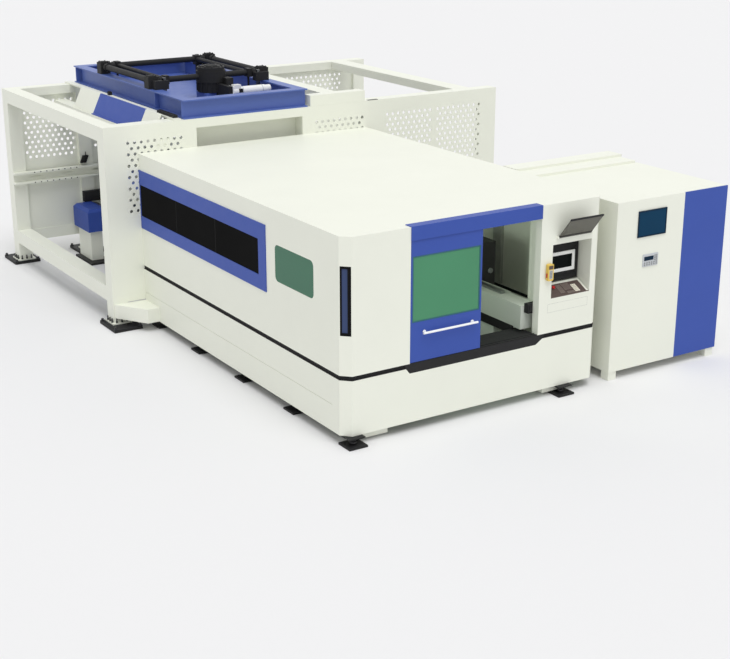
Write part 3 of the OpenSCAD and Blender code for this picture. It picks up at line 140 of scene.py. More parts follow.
class Bench:
    """Modelling moves that the sub-assemblies share."""

    @staticmethod
    def clear() -> None:
        """Deselects everything."""
        bpy.ops.object.select_all(action="DESELECT")

    @staticmethod
    def only(piece: bpy.types.Object) -> None:
        """Makes one piece the only selected and the active one.

        Args:
            piece: The piece.
        """
        Bench.clear()
        piece.select_set(True)
        bpy.context.view_layer.objects.active = piece

    @staticmethod
    def settle(name: str) -> bpy.types.Object:
        """Names the new primitive and puts its place into its mesh.

        Args:
            name: The piece's name.

        Returns:
            The piece.
        """
        piece = bpy.context.object
        piece.name = name
        piece.data.name = name
        bpy.ops.object.transform_apply(location=True, rotation=True, scale=True)
        return piece

    @staticmethod
    def soften(piece: bpy.types.Object, width: float, segments: int = 2) -> bpy.types.Object:
        """Rounds a piece's sharp edges and shades it.

        Args:
            piece: The piece to round.
            width: Width of the rounding.
            segments: Steps across the rounding.

        Returns:
            The same piece.
        """
        Bench.only(piece)
        rounding = piece.modifiers.new("rounding", "BEVEL")
        rounding.width = width
        rounding.segments = segments
        rounding.limit_method = "ANGLE"
        rounding.angle_limit = SHARP_ANGLE
        bpy.ops.object.modifier_apply(modifier=rounding.name)
        bpy.ops.object.shade_smooth_by_angle(angle=SHARP_ANGLE)
        return piece

    @staticmethod
    def block(name: str, low: Sequence[float], high: Sequence[float]) -> bpy.types.Object:
        """Models a block between two corners.

        Args:
            name: The piece's name.
            low: Lowest corner.
            high: Highest corner.

        Returns:
            The piece.
        """
        start, end = Vector(low), Vector(high)
        Bench.clear()
        bpy.ops.mesh.primitive_cube_add(size=1.0, location=(start + end) / 2, scale=end - start)
        return Bench.settle(name)

    @staticmethod
    def rod(name: str, middle: Sequence[float], axis: Axis, radius: float, length: float,
            sides: int = 32) -> bpy.types.Object:
        """Models a round bar about its middle.

        Args:
            name: The piece's name.
            middle: Middle of the bar.
            axis: Direction of the bar.
            radius: Radius of the bar.
            length: Length of the bar.
            sides: Number of faces round the bar.

        Returns:
            The piece.
        """
        Bench.clear()
        bpy.ops.mesh.primitive_cylinder_add(
            vertices=sides, radius=radius, depth=length, location=middle, rotation=axis.value
        )
        return Bench.settle(name)

    @staticmethod
    def unpick(piece: bpy.types.Object, kind: Pick) -> bmesh.types.BMesh:
        """Drops what is picked in edit mode.

        Args:
            piece: The piece in edit mode.
            kind: What is picked next.

        Returns:
            The mesh to pick from.
        """
        bpy.ops.mesh.select_mode(type=kind.value)
        bpy.ops.mesh.select_all(action="DESELECT")
        return bmesh.from_edit_mesh(piece.data)

    @staticmethod
    def edit(piece: bpy.types.Object, kind: Pick = Pick.FACES) -> bmesh.types.BMesh:
        """Enters edit mode with nothing picked.

        Args:
            piece: The piece to edit.
            kind: What is picked next.

        Returns:
            The mesh to pick from.
        """
        Bench.only(piece)
        bpy.ops.object.mode_set(mode="EDIT")
        return Bench.unpick(piece, kind)

    @staticmethod
    def pick(piece: bpy.types.Object, side: Side) -> None:
        """Enters edit mode with the faces of one side picked.

        Args:
            piece: The piece to edit.
            side: The side whose outermost faces are picked.
        """
        shape = Bench.edit(piece)
        outward = Vector(side.value)
        facing = [f for f in shape.faces if f.normal.dot(outward) > ALONG]
        reach = max(f.calc_center_median().dot(outward) for f in facing)
        for face in facing:
            face.select = face.calc_center_median().dot(outward) > reach - SAME_LEVEL
        bmesh.update_edit_mesh(piece.data)

    @staticmethod
    def push(side: Side, depth: float) -> None:
        """Extrudes the picked faces out of a side, or into it where the depth is negative, and ends the edit.

        Args:
            side: The side that the faces belong to.
            depth: How far they move outwards.
        """
        bpy.ops.mesh.extrude_region_move(TRANSFORM_OT_translate={"value": Vector(side.value) * depth})
        bpy.ops.object.mode_set(mode="OBJECT")

    @staticmethod
    def face(piece: bpy.types.Object, side: Side, *panels: Panel) -> bpy.types.Object:
        """Gives one side of a piece its panels, each inside the last.

        Args:
            piece: The piece to shape.
            side: The side to work on.
            panels: The panels.

        Returns:
            The same piece.
        """
        for panel in panels:
            Bench.pick(piece, side)
            bpy.ops.mesh.inset(thickness=panel.border, depth=0.0)
            Bench.push(side, panel.depth)
            if panel.edge:
                Bench.soften(piece, panel.edge, panel.steps)
        return piece

    @staticmethod
    def ring(name: str, low: Sequence[float], high: Sequence[float], side: Side, border: float,
             edge: float) -> bpy.types.Object:
        """Models a rectangular frame with an opening right through it.

        Args:
            name: The piece's name.
            low: Lowest corner.
            high: Highest corner.
            side: One of the two sides that the opening goes through.
            border: Width of the frame's bars.
            edge: Width of the edge rounding.

        Returns:
            The piece.
        """
        piece = Bench.block(name, low, high)
        shape = Bench.edit(piece)
        for face in shape.faces:
            face.select = abs(face.normal.dot(Vector(side.value))) > ALONG
        bmesh.update_edit_mesh(piece.data)
        bpy.ops.mesh.inset(thickness=border, depth=0.0, use_individual=True)
        bpy.ops.mesh.bridge_edge_loops()
        bpy.ops.mesh.select_all(action="SELECT")
        bpy.ops.mesh.normals_make_consistent(inside=False)
        bpy.ops.object.mode_set(mode="OBJECT")
        return Bench.soften(piece, edge)

    @staticmethod
    def lean(piece: bpy.types.Object, side: Side, shift: Sequence[float]) -> bpy.types.Object:
        """Pushes one side of a piece over, so that the sides beside it slope.

        Args:
            piece: The piece to shape.
            side: The side to move.
            shift: How far it moves.

        Returns:
            The same piece.
        """
        Bench.pick(piece, side)
        bpy.ops.transform.translate(value=Vector(shift))
        bpy.ops.object.mode_set(mode="OBJECT")
        return piece

    @staticmethod
    def notch(piece: bpy.types.Object, side: Side, count: int, depth: float) -> bpy.types.Object:
        """Cuts a row of tooth gaps across one side of an upright bar.

        Args:
            piece: The bar.
            side: The side that gets the teeth.
            count: Number of teeth.
            depth: Depth of the gaps.

        Returns:
            The same piece.
        """
        shape = Bench.edit(piece, Pick.EDGES)
        for edge in shape.edges:
            run = edge.verts[1].co - edge.verts[0].co
            edge.select = abs(run.z) > ALONG * run.length
        bmesh.update_edit_mesh(piece.data)
        bpy.ops.mesh.subdivide(number_cuts=2 * count)
        shape = Bench.unpick(piece, Pick.FACES)
        strips = [f for f in shape.faces if f.normal.dot(Vector(side.value)) > ALONG]
        strips.sort(key=lambda f: f.calc_center_median().z)
        for number, face in enumerate(strips):
            face.select = number % 2 == 1
        bmesh.update_edit_mesh(piece.data)
        Bench.push(side, -depth)
        return piece

    @staticmethod
    def array(piece: bpy.types.Object, name: str, places: Iterable[Matrix]) -> bpy.types.Object:
        """Copies a piece to several places and joins the copies.

        Args:
            piece: The modelled piece, which is used up.
            name: Name of the joined piece.
            places: Where the copies go.

        Returns:
            The joined piece.
        """
        copies = []
        for place in places:
            copy = piece.copy()
            copy.data = piece.data.copy()
            copy.data.transform(place)
            bpy.context.scene.collection.objects.link(copy)
            copies.append(copy)
        bpy.data.objects.remove(piece)
        return Bench.join(copies, name)

    @staticmethod
    def join(parts: Sequence[bpy.types.Object], name: str) -> bpy.types.Object:
        """Joins several pieces into one.

        Args:
            parts: The pieces to join.
            name: Name of the joined piece.

        Returns:
            The joined piece.
        """
        Bench.clear()
        for part in parts:
            part.select_set(True)
        bpy.context.view_layer.objects.active = parts[0]
        if len(parts) > 1:
            bpy.ops.object.join()
        joined = bpy.context.object
        joined.name = name
        joined.data.name = name
        return joined

    @staticmethod
    def shifts(points: Iterable[Sequence[float]]) -> list[Matrix]:
        """Turns points into plain shifts for the array."""
        return [Matrix.Translation(Vector(point)) for point in points]


class Skin:
    """Shader node groups that several finishes share, and the moves that build them."""

    _made: dict[str, bpy.types.NodeTree] = {}

    @staticmethod
    def maths(tree: bpy.types.NodeTree, operation: str,
              *terms: bpy.types.NodeSocket | float) -> bpy.types.NodeSocket:
        """Adds a maths node.

        Args:
            tree: The tree that gets the node.
            operation: What the node works out.
            terms: Its terms, as sockets to link or as plain values.

        Returns:
            The socket with the result.
        """
        node = tree.nodes.new("ShaderNodeMath")
        node.operation = operation
        for entry, term in zip(node.inputs, terms):
            if isinstance(term, bpy.types.NodeSocket):
                tree.links.new(term, entry)
            else:
                entry.default_value = term
        return node.outputs[0]

    @staticmethod
    def _noise(tree: bpy.types.NodeTree, place: bpy.types.NodeSocket, scale: float,
               detail: float) -> bpy.types.Node:
        """Adds a noise node.

        Args:
            tree: The tree that gets the node.
            place: The socket with the place on the surface.
            scale: Scale of the noise.
            detail: Detail of the noise.

        Returns:
            The node.
        """
        node = tree.nodes.new("ShaderNodeTexNoise")
        node.inputs["Scale"].default_value = scale
        node.inputs["Detail"].default_value = detail
        tree.links.new(place, node.inputs["Vector"])
        return node

    @staticmethod
    def _group(name: str, inputs: dict[str, tuple[str, object]]) -> tuple[
            bpy.types.NodeTree, bpy.types.Node, bpy.types.Node]:
        """Starts a node group with its sockets.

        Args:
            name: Name of the group.
            inputs: Socket type and default of each input.

        Returns:
            The group, its input node and its output node.
        """
        tree = bpy.data.node_groups.new(name, "ShaderNodeTree")
        for label, (kind, default) in inputs.items():
            socket = tree.interface.new_socket(label, in_out="INPUT", socket_type=kind)
            socket.default_value = default
        outputs = {"Colour": "NodeSocketColor", "Gloss": "NodeSocketFloat", "Relief": "NodeSocketFloat"}
        for label, kind in outputs.items():
            tree.interface.new_socket(label, in_out="OUTPUT", socket_type=kind)
        return tree, tree.nodes.new("NodeGroupInput"), tree.nodes.new("NodeGroupOutput")

    @classmethod
    def _close(cls, tree: bpy.types.NodeTree, source: bpy.types.Node, sink: bpy.types.Node,
               level: bpy.types.NodeSocket, wear: bpy.types.NodeSocket, dulling: Span,
               relief: bpy.types.NodeSocket) -> None:
        """Links a group's outputs.

        Args:
            tree: The group.
            source: Its input node.
            sink: Its output node.
            level: Brightness of the tint over the surface.
            wear: Wear over the surface.
            dulling: Change of roughness from no wear to full wear.
            relief: Height over the surface.
        """
        shade = tree.nodes.new("ShaderNodeVectorMath")
        shade.operation = "SCALE"
        tree.links.new(source.outputs["Tint"], shade.inputs[0])
        tree.links.new(level, shade.inputs["Scale"])
        gloss = tree.nodes.new("ShaderNodeMapRange")
        gloss.inputs["To Min"].default_value, gloss.inputs["To Max"].default_value = dulling
        tree.links.new(wear, gloss.inputs["Value"])
        rough = cls.maths(tree, "ADD", gloss.outputs[0], source.outputs["Rough"])
        rough.node.use_clamp = True
        tree.links.new(shade.outputs[0], sink.inputs["Colour"])
        tree.links.new(rough, sink.inputs["Gloss"])
        tree.links.new(relief, sink.inputs["Relief"])

    @classmethod
    def coat(cls) -> bpy.types.NodeTree:
        """Makes the coat group: colour drift, handling marks, gloss drift and orange peel.

        Returns:
            The group, with Colour, Gloss and Relief outputs.
        """
        if "coat" in cls._made:
            return cls._made["coat"]
        tree, source, sink = cls._group("coat", {
            "Tint": ("NodeSocketColor", (0.8, 0.8, 0.8, 1.0)),
            "Drift": ("NodeSocketFloat", 0.06),
            "Rough": ("NodeSocketFloat", 0.4),
            "Peel Scale": ("NodeSocketFloat", 220.0),
        })
        place = tree.nodes.new("ShaderNodeTexCoord").outputs["Object"]
        cloud = cls._noise(tree, place, scale=1.7, detail=4.0)
        smear = cls._noise(tree, place, scale=9.0, detail=6.0)
        peel = cls._noise(tree, place, scale=220.0, detail=2.0)
        tree.links.new(source.outputs["Peel Scale"], peel.inputs["Scale"])
        centre = cls.maths(tree, "SUBTRACT", cloud.outputs["Fac"], 0.5)
        swing = cls.maths(tree, "MULTIPLY", centre, source.outputs["Drift"])
        level = cls.maths(tree, "ADD", swing, 1.0)
        cls._close(tree, source, sink, level, smear.outputs["Fac"], (-0.06, 0.08), peel.outputs["Fac"])
        cls._made["coat"] = tree
        return tree

    @classmethod
    def brushed(cls) -> bpy.types.NodeTree:
        """Makes the brushed metal group: long fine scratches and heat-dulled patches.

        Returns:
            The group, with Colour, Gloss and Relief outputs.
        """
        if "brushed" in cls._made:
            return cls._made["brushed"]
        tree, source, sink = cls._group("brushed", {
            "Tint": ("NodeSocketColor", (0.6, 0.6, 0.6, 1.0)),
            "Drift": ("NodeSocketFloat", 0.3),
            "Rough": ("NodeSocketFloat", 0.35),
            "Stretch": ("NodeSocketVector", (3.0, 200.0, 200.0)),
        })
        place = tree.nodes.new("ShaderNodeTexCoord").outputs["Object"]
        pull = tree.nodes.new("ShaderNodeVectorMath")
        pull.operation = "MULTIPLY"
        tree.links.new(place, pull.inputs[0])
        tree.links.new(source.outputs["Stretch"], pull.inputs[1])
        scratch = cls._noise(tree, pull.outputs[0], scale=1.0, detail=3.0)
        patch = cls._noise(tree, place, scale=5.0, detail=2.0)
        centre = cls.maths(tree, "SUBTRACT", scratch.outputs["Fac"], 0.5)
        level = cls.maths(tree, "MULTIPLY_ADD", centre, source.outputs["Drift"], 1.0)
        cls._close(tree, source, sink, level, patch.outputs["Fac"], (-0.1, 0.15), scratch.outputs["Fac"])
        cls._made["brushed"] = tree
        return tree

    @staticmethod
    def surface(name: str, group: bpy.types.NodeTree, values: dict[str, object], relief: float,
                strength: float) -> tuple[bpy.types.Material, bpy.types.Node]:
        """Starts a material whose shader reads a node group.

        Args:
            name: Name of the material.
            group: The node group.
            values: Values of the group's inputs.
            relief: Height of the relief.
            strength: Strength of the relief.

        Returns:
            The material and its shader.
        """
        made = bpy.data.materials.new(name)
        made.use_nodes = True
        nodes, links = made.node_tree.nodes, made.node_tree.links
        shader = nodes["Principled BSDF"]
        skin = nodes.new("ShaderNodeGroup")
        skin.node_tree = group
        for label, value in values.items():
            skin.inputs[label].default_value = value
        bump = nodes.new("ShaderNodeBump")
        bump.inputs["Distance"].default_value = relief
        bump.inputs["Strength"].default_value = strength
        links.new(skin.outputs["Colour"], shader.inputs["Base Color"])
        links.new(skin.outputs["Gloss"], shader.inputs["Roughness"])
        links.new(skin.outputs["Relief"], bump.inputs["Height"])
        links.new(bump.outputs["Normal"], shader.inputs["Normal"])
        return made, shader


@dataclass(frozen=True)
class CoatFinish:
    """A painted, moulded or glazed surface with a coat."""

    name: str
    colour: Colour
    rough: float = 0.4
    drift: float = 0.06
    peel_scale: float = 220.0
    relief: float = 0.0006
    relief_strength: float = 0.5
    clear_coat: float = 0.0
    clear_coat_rough: float = 0.12
    transmission: float = 0.0
    specular: float = 0.5

    def material(self) -> bpy.types.Material:
        """Builds the material, or returns it if it is already there.

        Returns:
            The material.
        """
        found = bpy.data.materials.get(self.name)
        if found:
            return found
        values = {"Tint": (*self.colour, 1.0), "Drift": self.drift, "Rough": self.rough,
                  "Peel Scale": self.peel_scale}
        made, shader = Skin.surface(self.name, Skin.coat(), values, self.relief, self.relief_strength)
        shader.inputs["Coat Weight"].default_value = self.clear_coat
        shader.inputs["Coat Roughness"].default_value = self.clear_coat_rough
        shader.inputs["Transmission Weight"].default_value = self.transmission
        shader.inputs["Specular IOR Level"].default_value = self.specular
        return made


@dataclass(frozen=True)
class BrushedFinish:
    """A bare metal surface with a grain direction."""

    name: str
    colour: Colour
    rough: float = 0.35
    drift: float = 0.3
    stretch: Point = (3.0, 220.0, 220.0)
    relief: float = 0.0002
    relief_strength: float = 0.4

    def material(self) -> bpy.types.Material:
        """Builds the material, or returns it if it is already there.

        Returns:
            The material.
        """
        found = bpy.data.materials.get(self.name)
        if found:
            return found
        values = {"Tint": (*self.colour, 1.0), "Drift": self.drift, "Rough": self.rough,
                  "Stretch": self.stretch}
        made, shader = Skin.surface(self.name, Skin.brushed(), values, self.relief, self.relief_strength)
        shader.inputs["Metallic"].default_value = 1.0
        return made


Finish = CoatFinish | BrushedFinish


WHITE = CoatFinish("white_powder_coat", srgb(236, 238, 226), rough=0.45, drift=0.05, specular=0.4)
BLUE = CoatFinish("blue_powder_coat", srgb(57, 83, 167), rough=0.42, drift=0.1, specular=0.25)
BLACK = CoatFinish("black_machine_paint", srgb(42, 42, 43), rough=0.5, drift=0.25, specular=0.14)
GREY = CoatFinish("grey_machine_paint", srgb(176, 178, 172), rough=0.45)
BED_PAINT = CoatFinish("pale_bed_paint", srgb(206, 212, 202), rough=0.5)
TRUCK_PAINT = CoatFinish("dark_grey_machine_paint", srgb(70, 68, 70), rough=0.5, drift=0.2, specular=0.2)
# Lift girder blue: the door blue lightened by painted sheen, whitish light put into the base colour for the
# gloss on the girders.
GIRDER_BLUE_WITH_PAINTED_SHEEN = CoatFinish("blue_girder_paint_with_painted_sheen", srgb(82, 105, 175), rough=0.38, drift=0.12, specular=0.45)
STEEL = BrushedFinish("brushed_steel", srgb(188, 190, 192))
STEEL_CROSS = BrushedFinish("cross_brushed_steel", srgb(170, 172, 174), stretch=(220.0, 3.0, 220.0))
STEEL_TALL = BrushedFinish("upright_brushed_steel", srgb(104, 106, 108), stretch=(220.0, 220.0, 3.0))
GREEN_GLASS = CoatFinish("green_safety_glass", srgb(74, 146, 106), rough=0.12, drift=0.12, peel_scale=4.0,
                         relief=0.0004, clear_coat=0.1, transmission=0.12, specular=0.3)
VIEW_GLASS = CoatFinish("viewport_glass", srgb(64, 118, 92), rough=0.12, drift=0.12, peel_scale=4.0,
                        relief=0.0004, transmission=0.12, specular=0.2)
DARK_GLASS = CoatFinish("dark_safety_glass", srgb(29, 29, 29), rough=0.1, drift=0.3, peel_scale=3.0,
                        relief=0.0003, specular=0.0)
LENS = CoatFinish("unlit_lamp_lens", srgb(52, 68, 108), rough=0.15, drift=0.2, peel_scale=300.0, specular=0.3)
BLACK_PLASTIC = CoatFinish("black_moulding", srgb(34, 34, 35), rough=0.55, drift=0.2, peel_scale=900.0,
                           specular=0.2)
BROWN_PLASTIC = CoatFinish("tray_membrane", srgb(92, 78, 74), rough=0.5, drift=0.15, peel_scale=700.0,
                           specular=0.3)
RED_PLASTIC = CoatFinish("red_moulding", srgb(196, 28, 26), rough=0.25, clear_coat=0.3)
SMOKE = CoatFinish("smoked_acrylic", srgb(94, 92, 84), rough=0.16, drift=0.12, peel_scale=5.0, specular=0.2)
YELLOW_PLASTIC = CoatFinish("yellow_moulding", srgb(228, 194, 90), rough=0.4, peel_scale=800.0)
ENAMEL = CoatFinish("white_motor_enamel", srgb(240, 241, 239), rough=0.3, drift=0.04)
NAVY = CoatFinish("navy_display", srgb(20, 60, 88), rough=0.14, drift=0.5, peel_scale=6.0, specular=0.05)
DEEP_NAVY = CoatFinish("navy_frame", srgb(14, 40, 62), rough=0.4, peel_scale=600.0, specular=0.1)
PALE_PLATE = CoatFinish("satin_plate", srgb(196, 200, 204), rough=0.35, drift=0.08, peel_scale=600.0)
DEEP_BLACK = CoatFinish("deep_black_moulding", srgb(17, 17, 20), rough=0.5, peel_scale=900.0, specular=0.1)
RUBBER = CoatFinish("black_rubber", srgb(30, 30, 31), rough=0.7, drift=0.2, peel_scale=500.0, specular=0.2)
BOLT = BrushedFinish("dark_bolt_steel", srgb(74, 74, 76), rough=0.4, stretch=(80.0, 80.0, 80.0))
WHITE_PLASTIC = CoatFinish("white_moulding", srgb(246, 247, 246), rough=0.35, peel_scale=900.0)
CREAM_PLASTIC = CoatFinish("cream_moulding", srgb(250, 246, 230), rough=0.4, peel_scale=900.0)
KEY_PLASTIC = CoatFinish("brown_key_moulding", srgb(148, 136, 128), rough=0.45, peel_scale=900.0)
TEAL_RUBBER = CoatFinish("teal_gasket", srgb(58, 106, 116), rough=0.5, peel_scale=500.0, specular=0.2)
GREY_PLASTIC = CoatFinish("grey_moulding", srgb(150, 152, 152), rough=0.45, peel_scale=900.0)
SCREEN = CoatFinish("dark_screen", srgb(14, 19, 19), rough=0.14, drift=0.5, peel_scale=5.0, specular=0.04)
FLOOR_TINT = srgb(233, 233, 234)


@dataclass
class Layout:
    """Places in the machine's own layout, in metres.

    In the layout, x runs right from the enclosure's left side, y runs back from its front and z runs up.
    """

    corner: Vector = field(default_factory=lambda: Vector((
        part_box("left_wall")[0].x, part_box("base_panels")[0].y, 0.0)))

    def at(self, x: float, y: float, z: float) -> Vector:
        """Turns a layout place into a place in the frame.

        Args:
            x: Distance to the right of the enclosure's left side.
            y: Distance behind the enclosure's front.
            z: Height.

        Returns:
            The place in the frame.
        """
        return self.corner + Vector((x, y, z))


@dataclass(frozen=True)
class Fitting:
    """A block-shaped piece: its corners in the layout, its panels, its finish and its material slot."""

    name: str
    low: Point
    high: Point
    panels: tuple[tuple[Side, Panel], ...]
    finish: Finish
    slot: str


@dataclass(frozen=True)
class BoltShape:
    """Shape of a hexagon bolt with its washer, in shares of the head's radius and height."""

    head_middle: float = 0.65
    head_border: float = 0.2
    head_rise: float = 0.12
    head_sides: int = 6
    washer_middle: float = 0.1
    washer_radius: float = 1.5
    washer_height: float = 0.2
    washer_border: float = 0.15
    washer_rise: float = 0.05
    washer_sides: int = 14


@dataclass
class Assembly:
    """A sub-assembly of the machine with its finishes."""

    layout: Layout
    body: str = "machine"

    def slab(self, name: str, low: Point, high: Point) -> bpy.types.Object:
        """Models a block between two layout places.

        Args:
            name: The piece's name.
            low: Lowest corner in the layout.
            high: Highest corner in the layout.

        Returns:
            The piece.
        """
        return Bench.block(name, self.layout.at(*low), self.layout.at(*high))

    def spots(self, points: Iterable[Point]) -> list[Vector]:
        """Turns layout places into places in the frame."""
        return [self.layout.at(*point) for point in points]

    def finish(self, finish: Finish, *nodes: str) -> None:
        """Gives nodes of the frame a finish.

        Args:
            finish: The finish.
            nodes: Names of the nodes.
        """
        for name in nodes:
            slots = bpy.data.objects[name].data.materials
            slots.clear()
            slots.append(finish.material())

    def keep(self, piece: bpy.types.Object, finish: Finish, slot: str,
             body: str | None = None) -> bpy.types.Object:
        """Finishes a new piece and lets it ride on its body.

        Args:
            piece: The new piece.
            finish: Its finish.
            slot: The record's material slot that is nearest to it; not used.
            body: The body that it rides on, or None for the assembly's own.

        Returns:
            The same piece.
        """
        piece.data.materials.clear()
        piece.data.materials.append(finish.material())
        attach(piece, body or self.body)
        LOG.info("piece %s: %d faces", piece.name, len(piece.data.polygons))
        return piece

    def fit(self, fitting: Fitting) -> None:
        """Models a block-shaped piece with its panels and keeps it.

        Args:
            fitting: The piece.
        """
        piece = self.slab(fitting.name, fitting.low, fitting.high)
        for side, panel in fitting.panels:
            Bench.face(piece, side, panel)
        self.keep(piece, fitting.finish, fitting.slot)

    def bolts(self, name: str, places: Iterable[Sequence[float]], radius: float, height: float,
              side: Side = Side.TOP) -> None:
        """Models hexagon bolts with washers and puts them in place.

        Args:
            name: Name of the joined bolts.
            places: Where the washers sit.
            radius: Radius of a bolt head.
            height: Height of a bolt head.
            side: Direction in which the heads point.
        """
        shape = BoltShape()
        head = Bench.rod("head", (0, 0, height * shape.head_middle), Axis.Z, radius, height, shape.head_sides)
        Bench.face(head, Side.TOP, Panel(radius * shape.head_border, height * shape.head_rise))
        washer = Bench.rod("washer", (0, 0, height * shape.washer_middle), Axis.Z,
                           radius * shape.washer_radius, height * shape.washer_height, shape.washer_sides)
        Bench.face(washer, Side.TOP, Panel(radius * shape.washer_border, height * shape.washer_rise))
        bolt = Bench.join([head, washer], "bolt")
        turn = Vector(side.value).to_track_quat("Z", "Y").to_matrix().to_4x4()
        spots = [Matrix.Translation(Vector(place)) @ turn for place in places]
        self.keep(Bench.array(bolt, name, spots), BOLT, "black_paint")


@dataclass
class Studio:
    """Camera, floor and light."""

    layout: Layout
    azimuth: float = math.radians(-32.572)
    elevation: float = math.radians(18.717)
    eye: Point = (-6.7634, -10.9705, 5.6413)
    lens: float = 68.2
    sensor: float = 36.0
    view_reach: float = 200.0
    floor_size: float = 600.0
    floor_level: float = -0.001
    floor_rough: float = 0.85
    floor_specular: float = 0.1
    sky: float = 0.66
    backdrop: float = 0.92
    key: float = 1.52
    key_from: Point = (-0.1, -0.4, 0.91)
    key_spread: float = 40.0
    cabin_place: Point = (1.0, 1.2, 1.75)
    cabin_aim: Point = (3.2, 1.3, 1.45)
    cabin_size: float = 0.6
    cabin_power: float = 9.5
    cabin_tint: Colour = (0.85, 1.0, 0.85)

    def build(self) -> None:
        """Sets up the camera, the floor, the world and the lamps."""
        self._camera()
        self._floor()
        self._world()
        self._key_light()
        self._cabin_light()

    def _camera(self) -> None:
        """Puts the camera where the photo was taken from."""
        data = bpy.data.cameras.new("camera")
        data.lens = self.lens
        data.sensor_width = self.sensor
        data.sensor_fit = "HORIZONTAL"
        data.clip_end = self.view_reach
        camera = bpy.data.objects.new("camera", data)
        camera.location = self.layout.at(*self.eye)
        camera.rotation_euler = (math.pi / 2 - self.elevation, 0.0, self.azimuth)
        bpy.context.scene.collection.objects.link(camera)
        bpy.context.scene.camera = camera

    def _floor(self) -> None:
        """Lays the pale floor."""
        Bench.clear()
        bpy.ops.mesh.primitive_plane_add(size=self.floor_size, location=(0.0, 0.0, self.floor_level))
        floor = Bench.settle("floor")
        made = bpy.data.materials.new("pale_floor")
        made.use_nodes = True
        shader = made.node_tree.nodes["Principled BSDF"]
        shader.inputs["Base Color"].default_value = (*FLOOR_TINT, 1.0)
        shader.inputs["Roughness"].default_value = self.floor_rough
        shader.inputs["Specular IOR Level"].default_value = self.floor_specular
        floor.data.materials.append(made)

    def _world(self) -> None:
        """Makes the world: white to the camera, plain light on the object."""
        world = bpy.data.worlds.new("studio")
        bpy.context.scene.world = world
        world.use_nodes = True
        tree = world.node_tree
        back = tree.nodes["Background"]
        path = tree.nodes.new("ShaderNodeLightPath")
        seen = Skin.maths(tree, "MAXIMUM", path.outputs["Is Camera Ray"], path.outputs["Is Glossy Ray"])
        through = Skin.maths(tree, "MAXIMUM", seen, path.outputs["Is Transmission Ray"])
        level = tree.nodes.new("ShaderNodeMapRange")
        level.inputs["To Min"].default_value = self.sky
        level.inputs["To Max"].default_value = self.backdrop
        tree.links.new(through, level.inputs["Value"])
        back.inputs["Color"].default_value = (1.0, 1.0, 1.0, 1.0)
        tree.links.new(level.outputs[0], back.inputs["Strength"])

    def _key_light(self) -> None:
        """Adds the soft sun lamp from the front left."""
        data = bpy.data.lights.new("key_light", "SUN")
        data.energy = self.key
        data.angle = math.radians(self.key_spread)
        lamp = bpy.data.objects.new("key_light", data)
        lamp.rotation_euler = Vector(self.key_from).to_track_quat("Z", "Y").to_euler()
        bpy.context.scene.collection.objects.link(lamp)

    def _cabin_light(self) -> None:
        """Adds the small lamp inside the enclosure, aimed at the right wall."""
        data = bpy.data.lights.new("cabin_light", "AREA")
        data.energy = self.cabin_power
        data.size = self.cabin_size
        data.color = self.cabin_tint
        lamp = bpy.data.objects.new("cabin_light", data)
        lamp.location = self.layout.at(*self.cabin_place)
        away = lamp.location - self.layout.at(*self.cabin_aim)
        lamp.rotation_euler = away.to_track_quat("Z", "Y").to_euler()
        lamp.visible_camera = False
        lamp.visible_glossy = False
        bpy.context.scene.collection.objects.link(lamp)


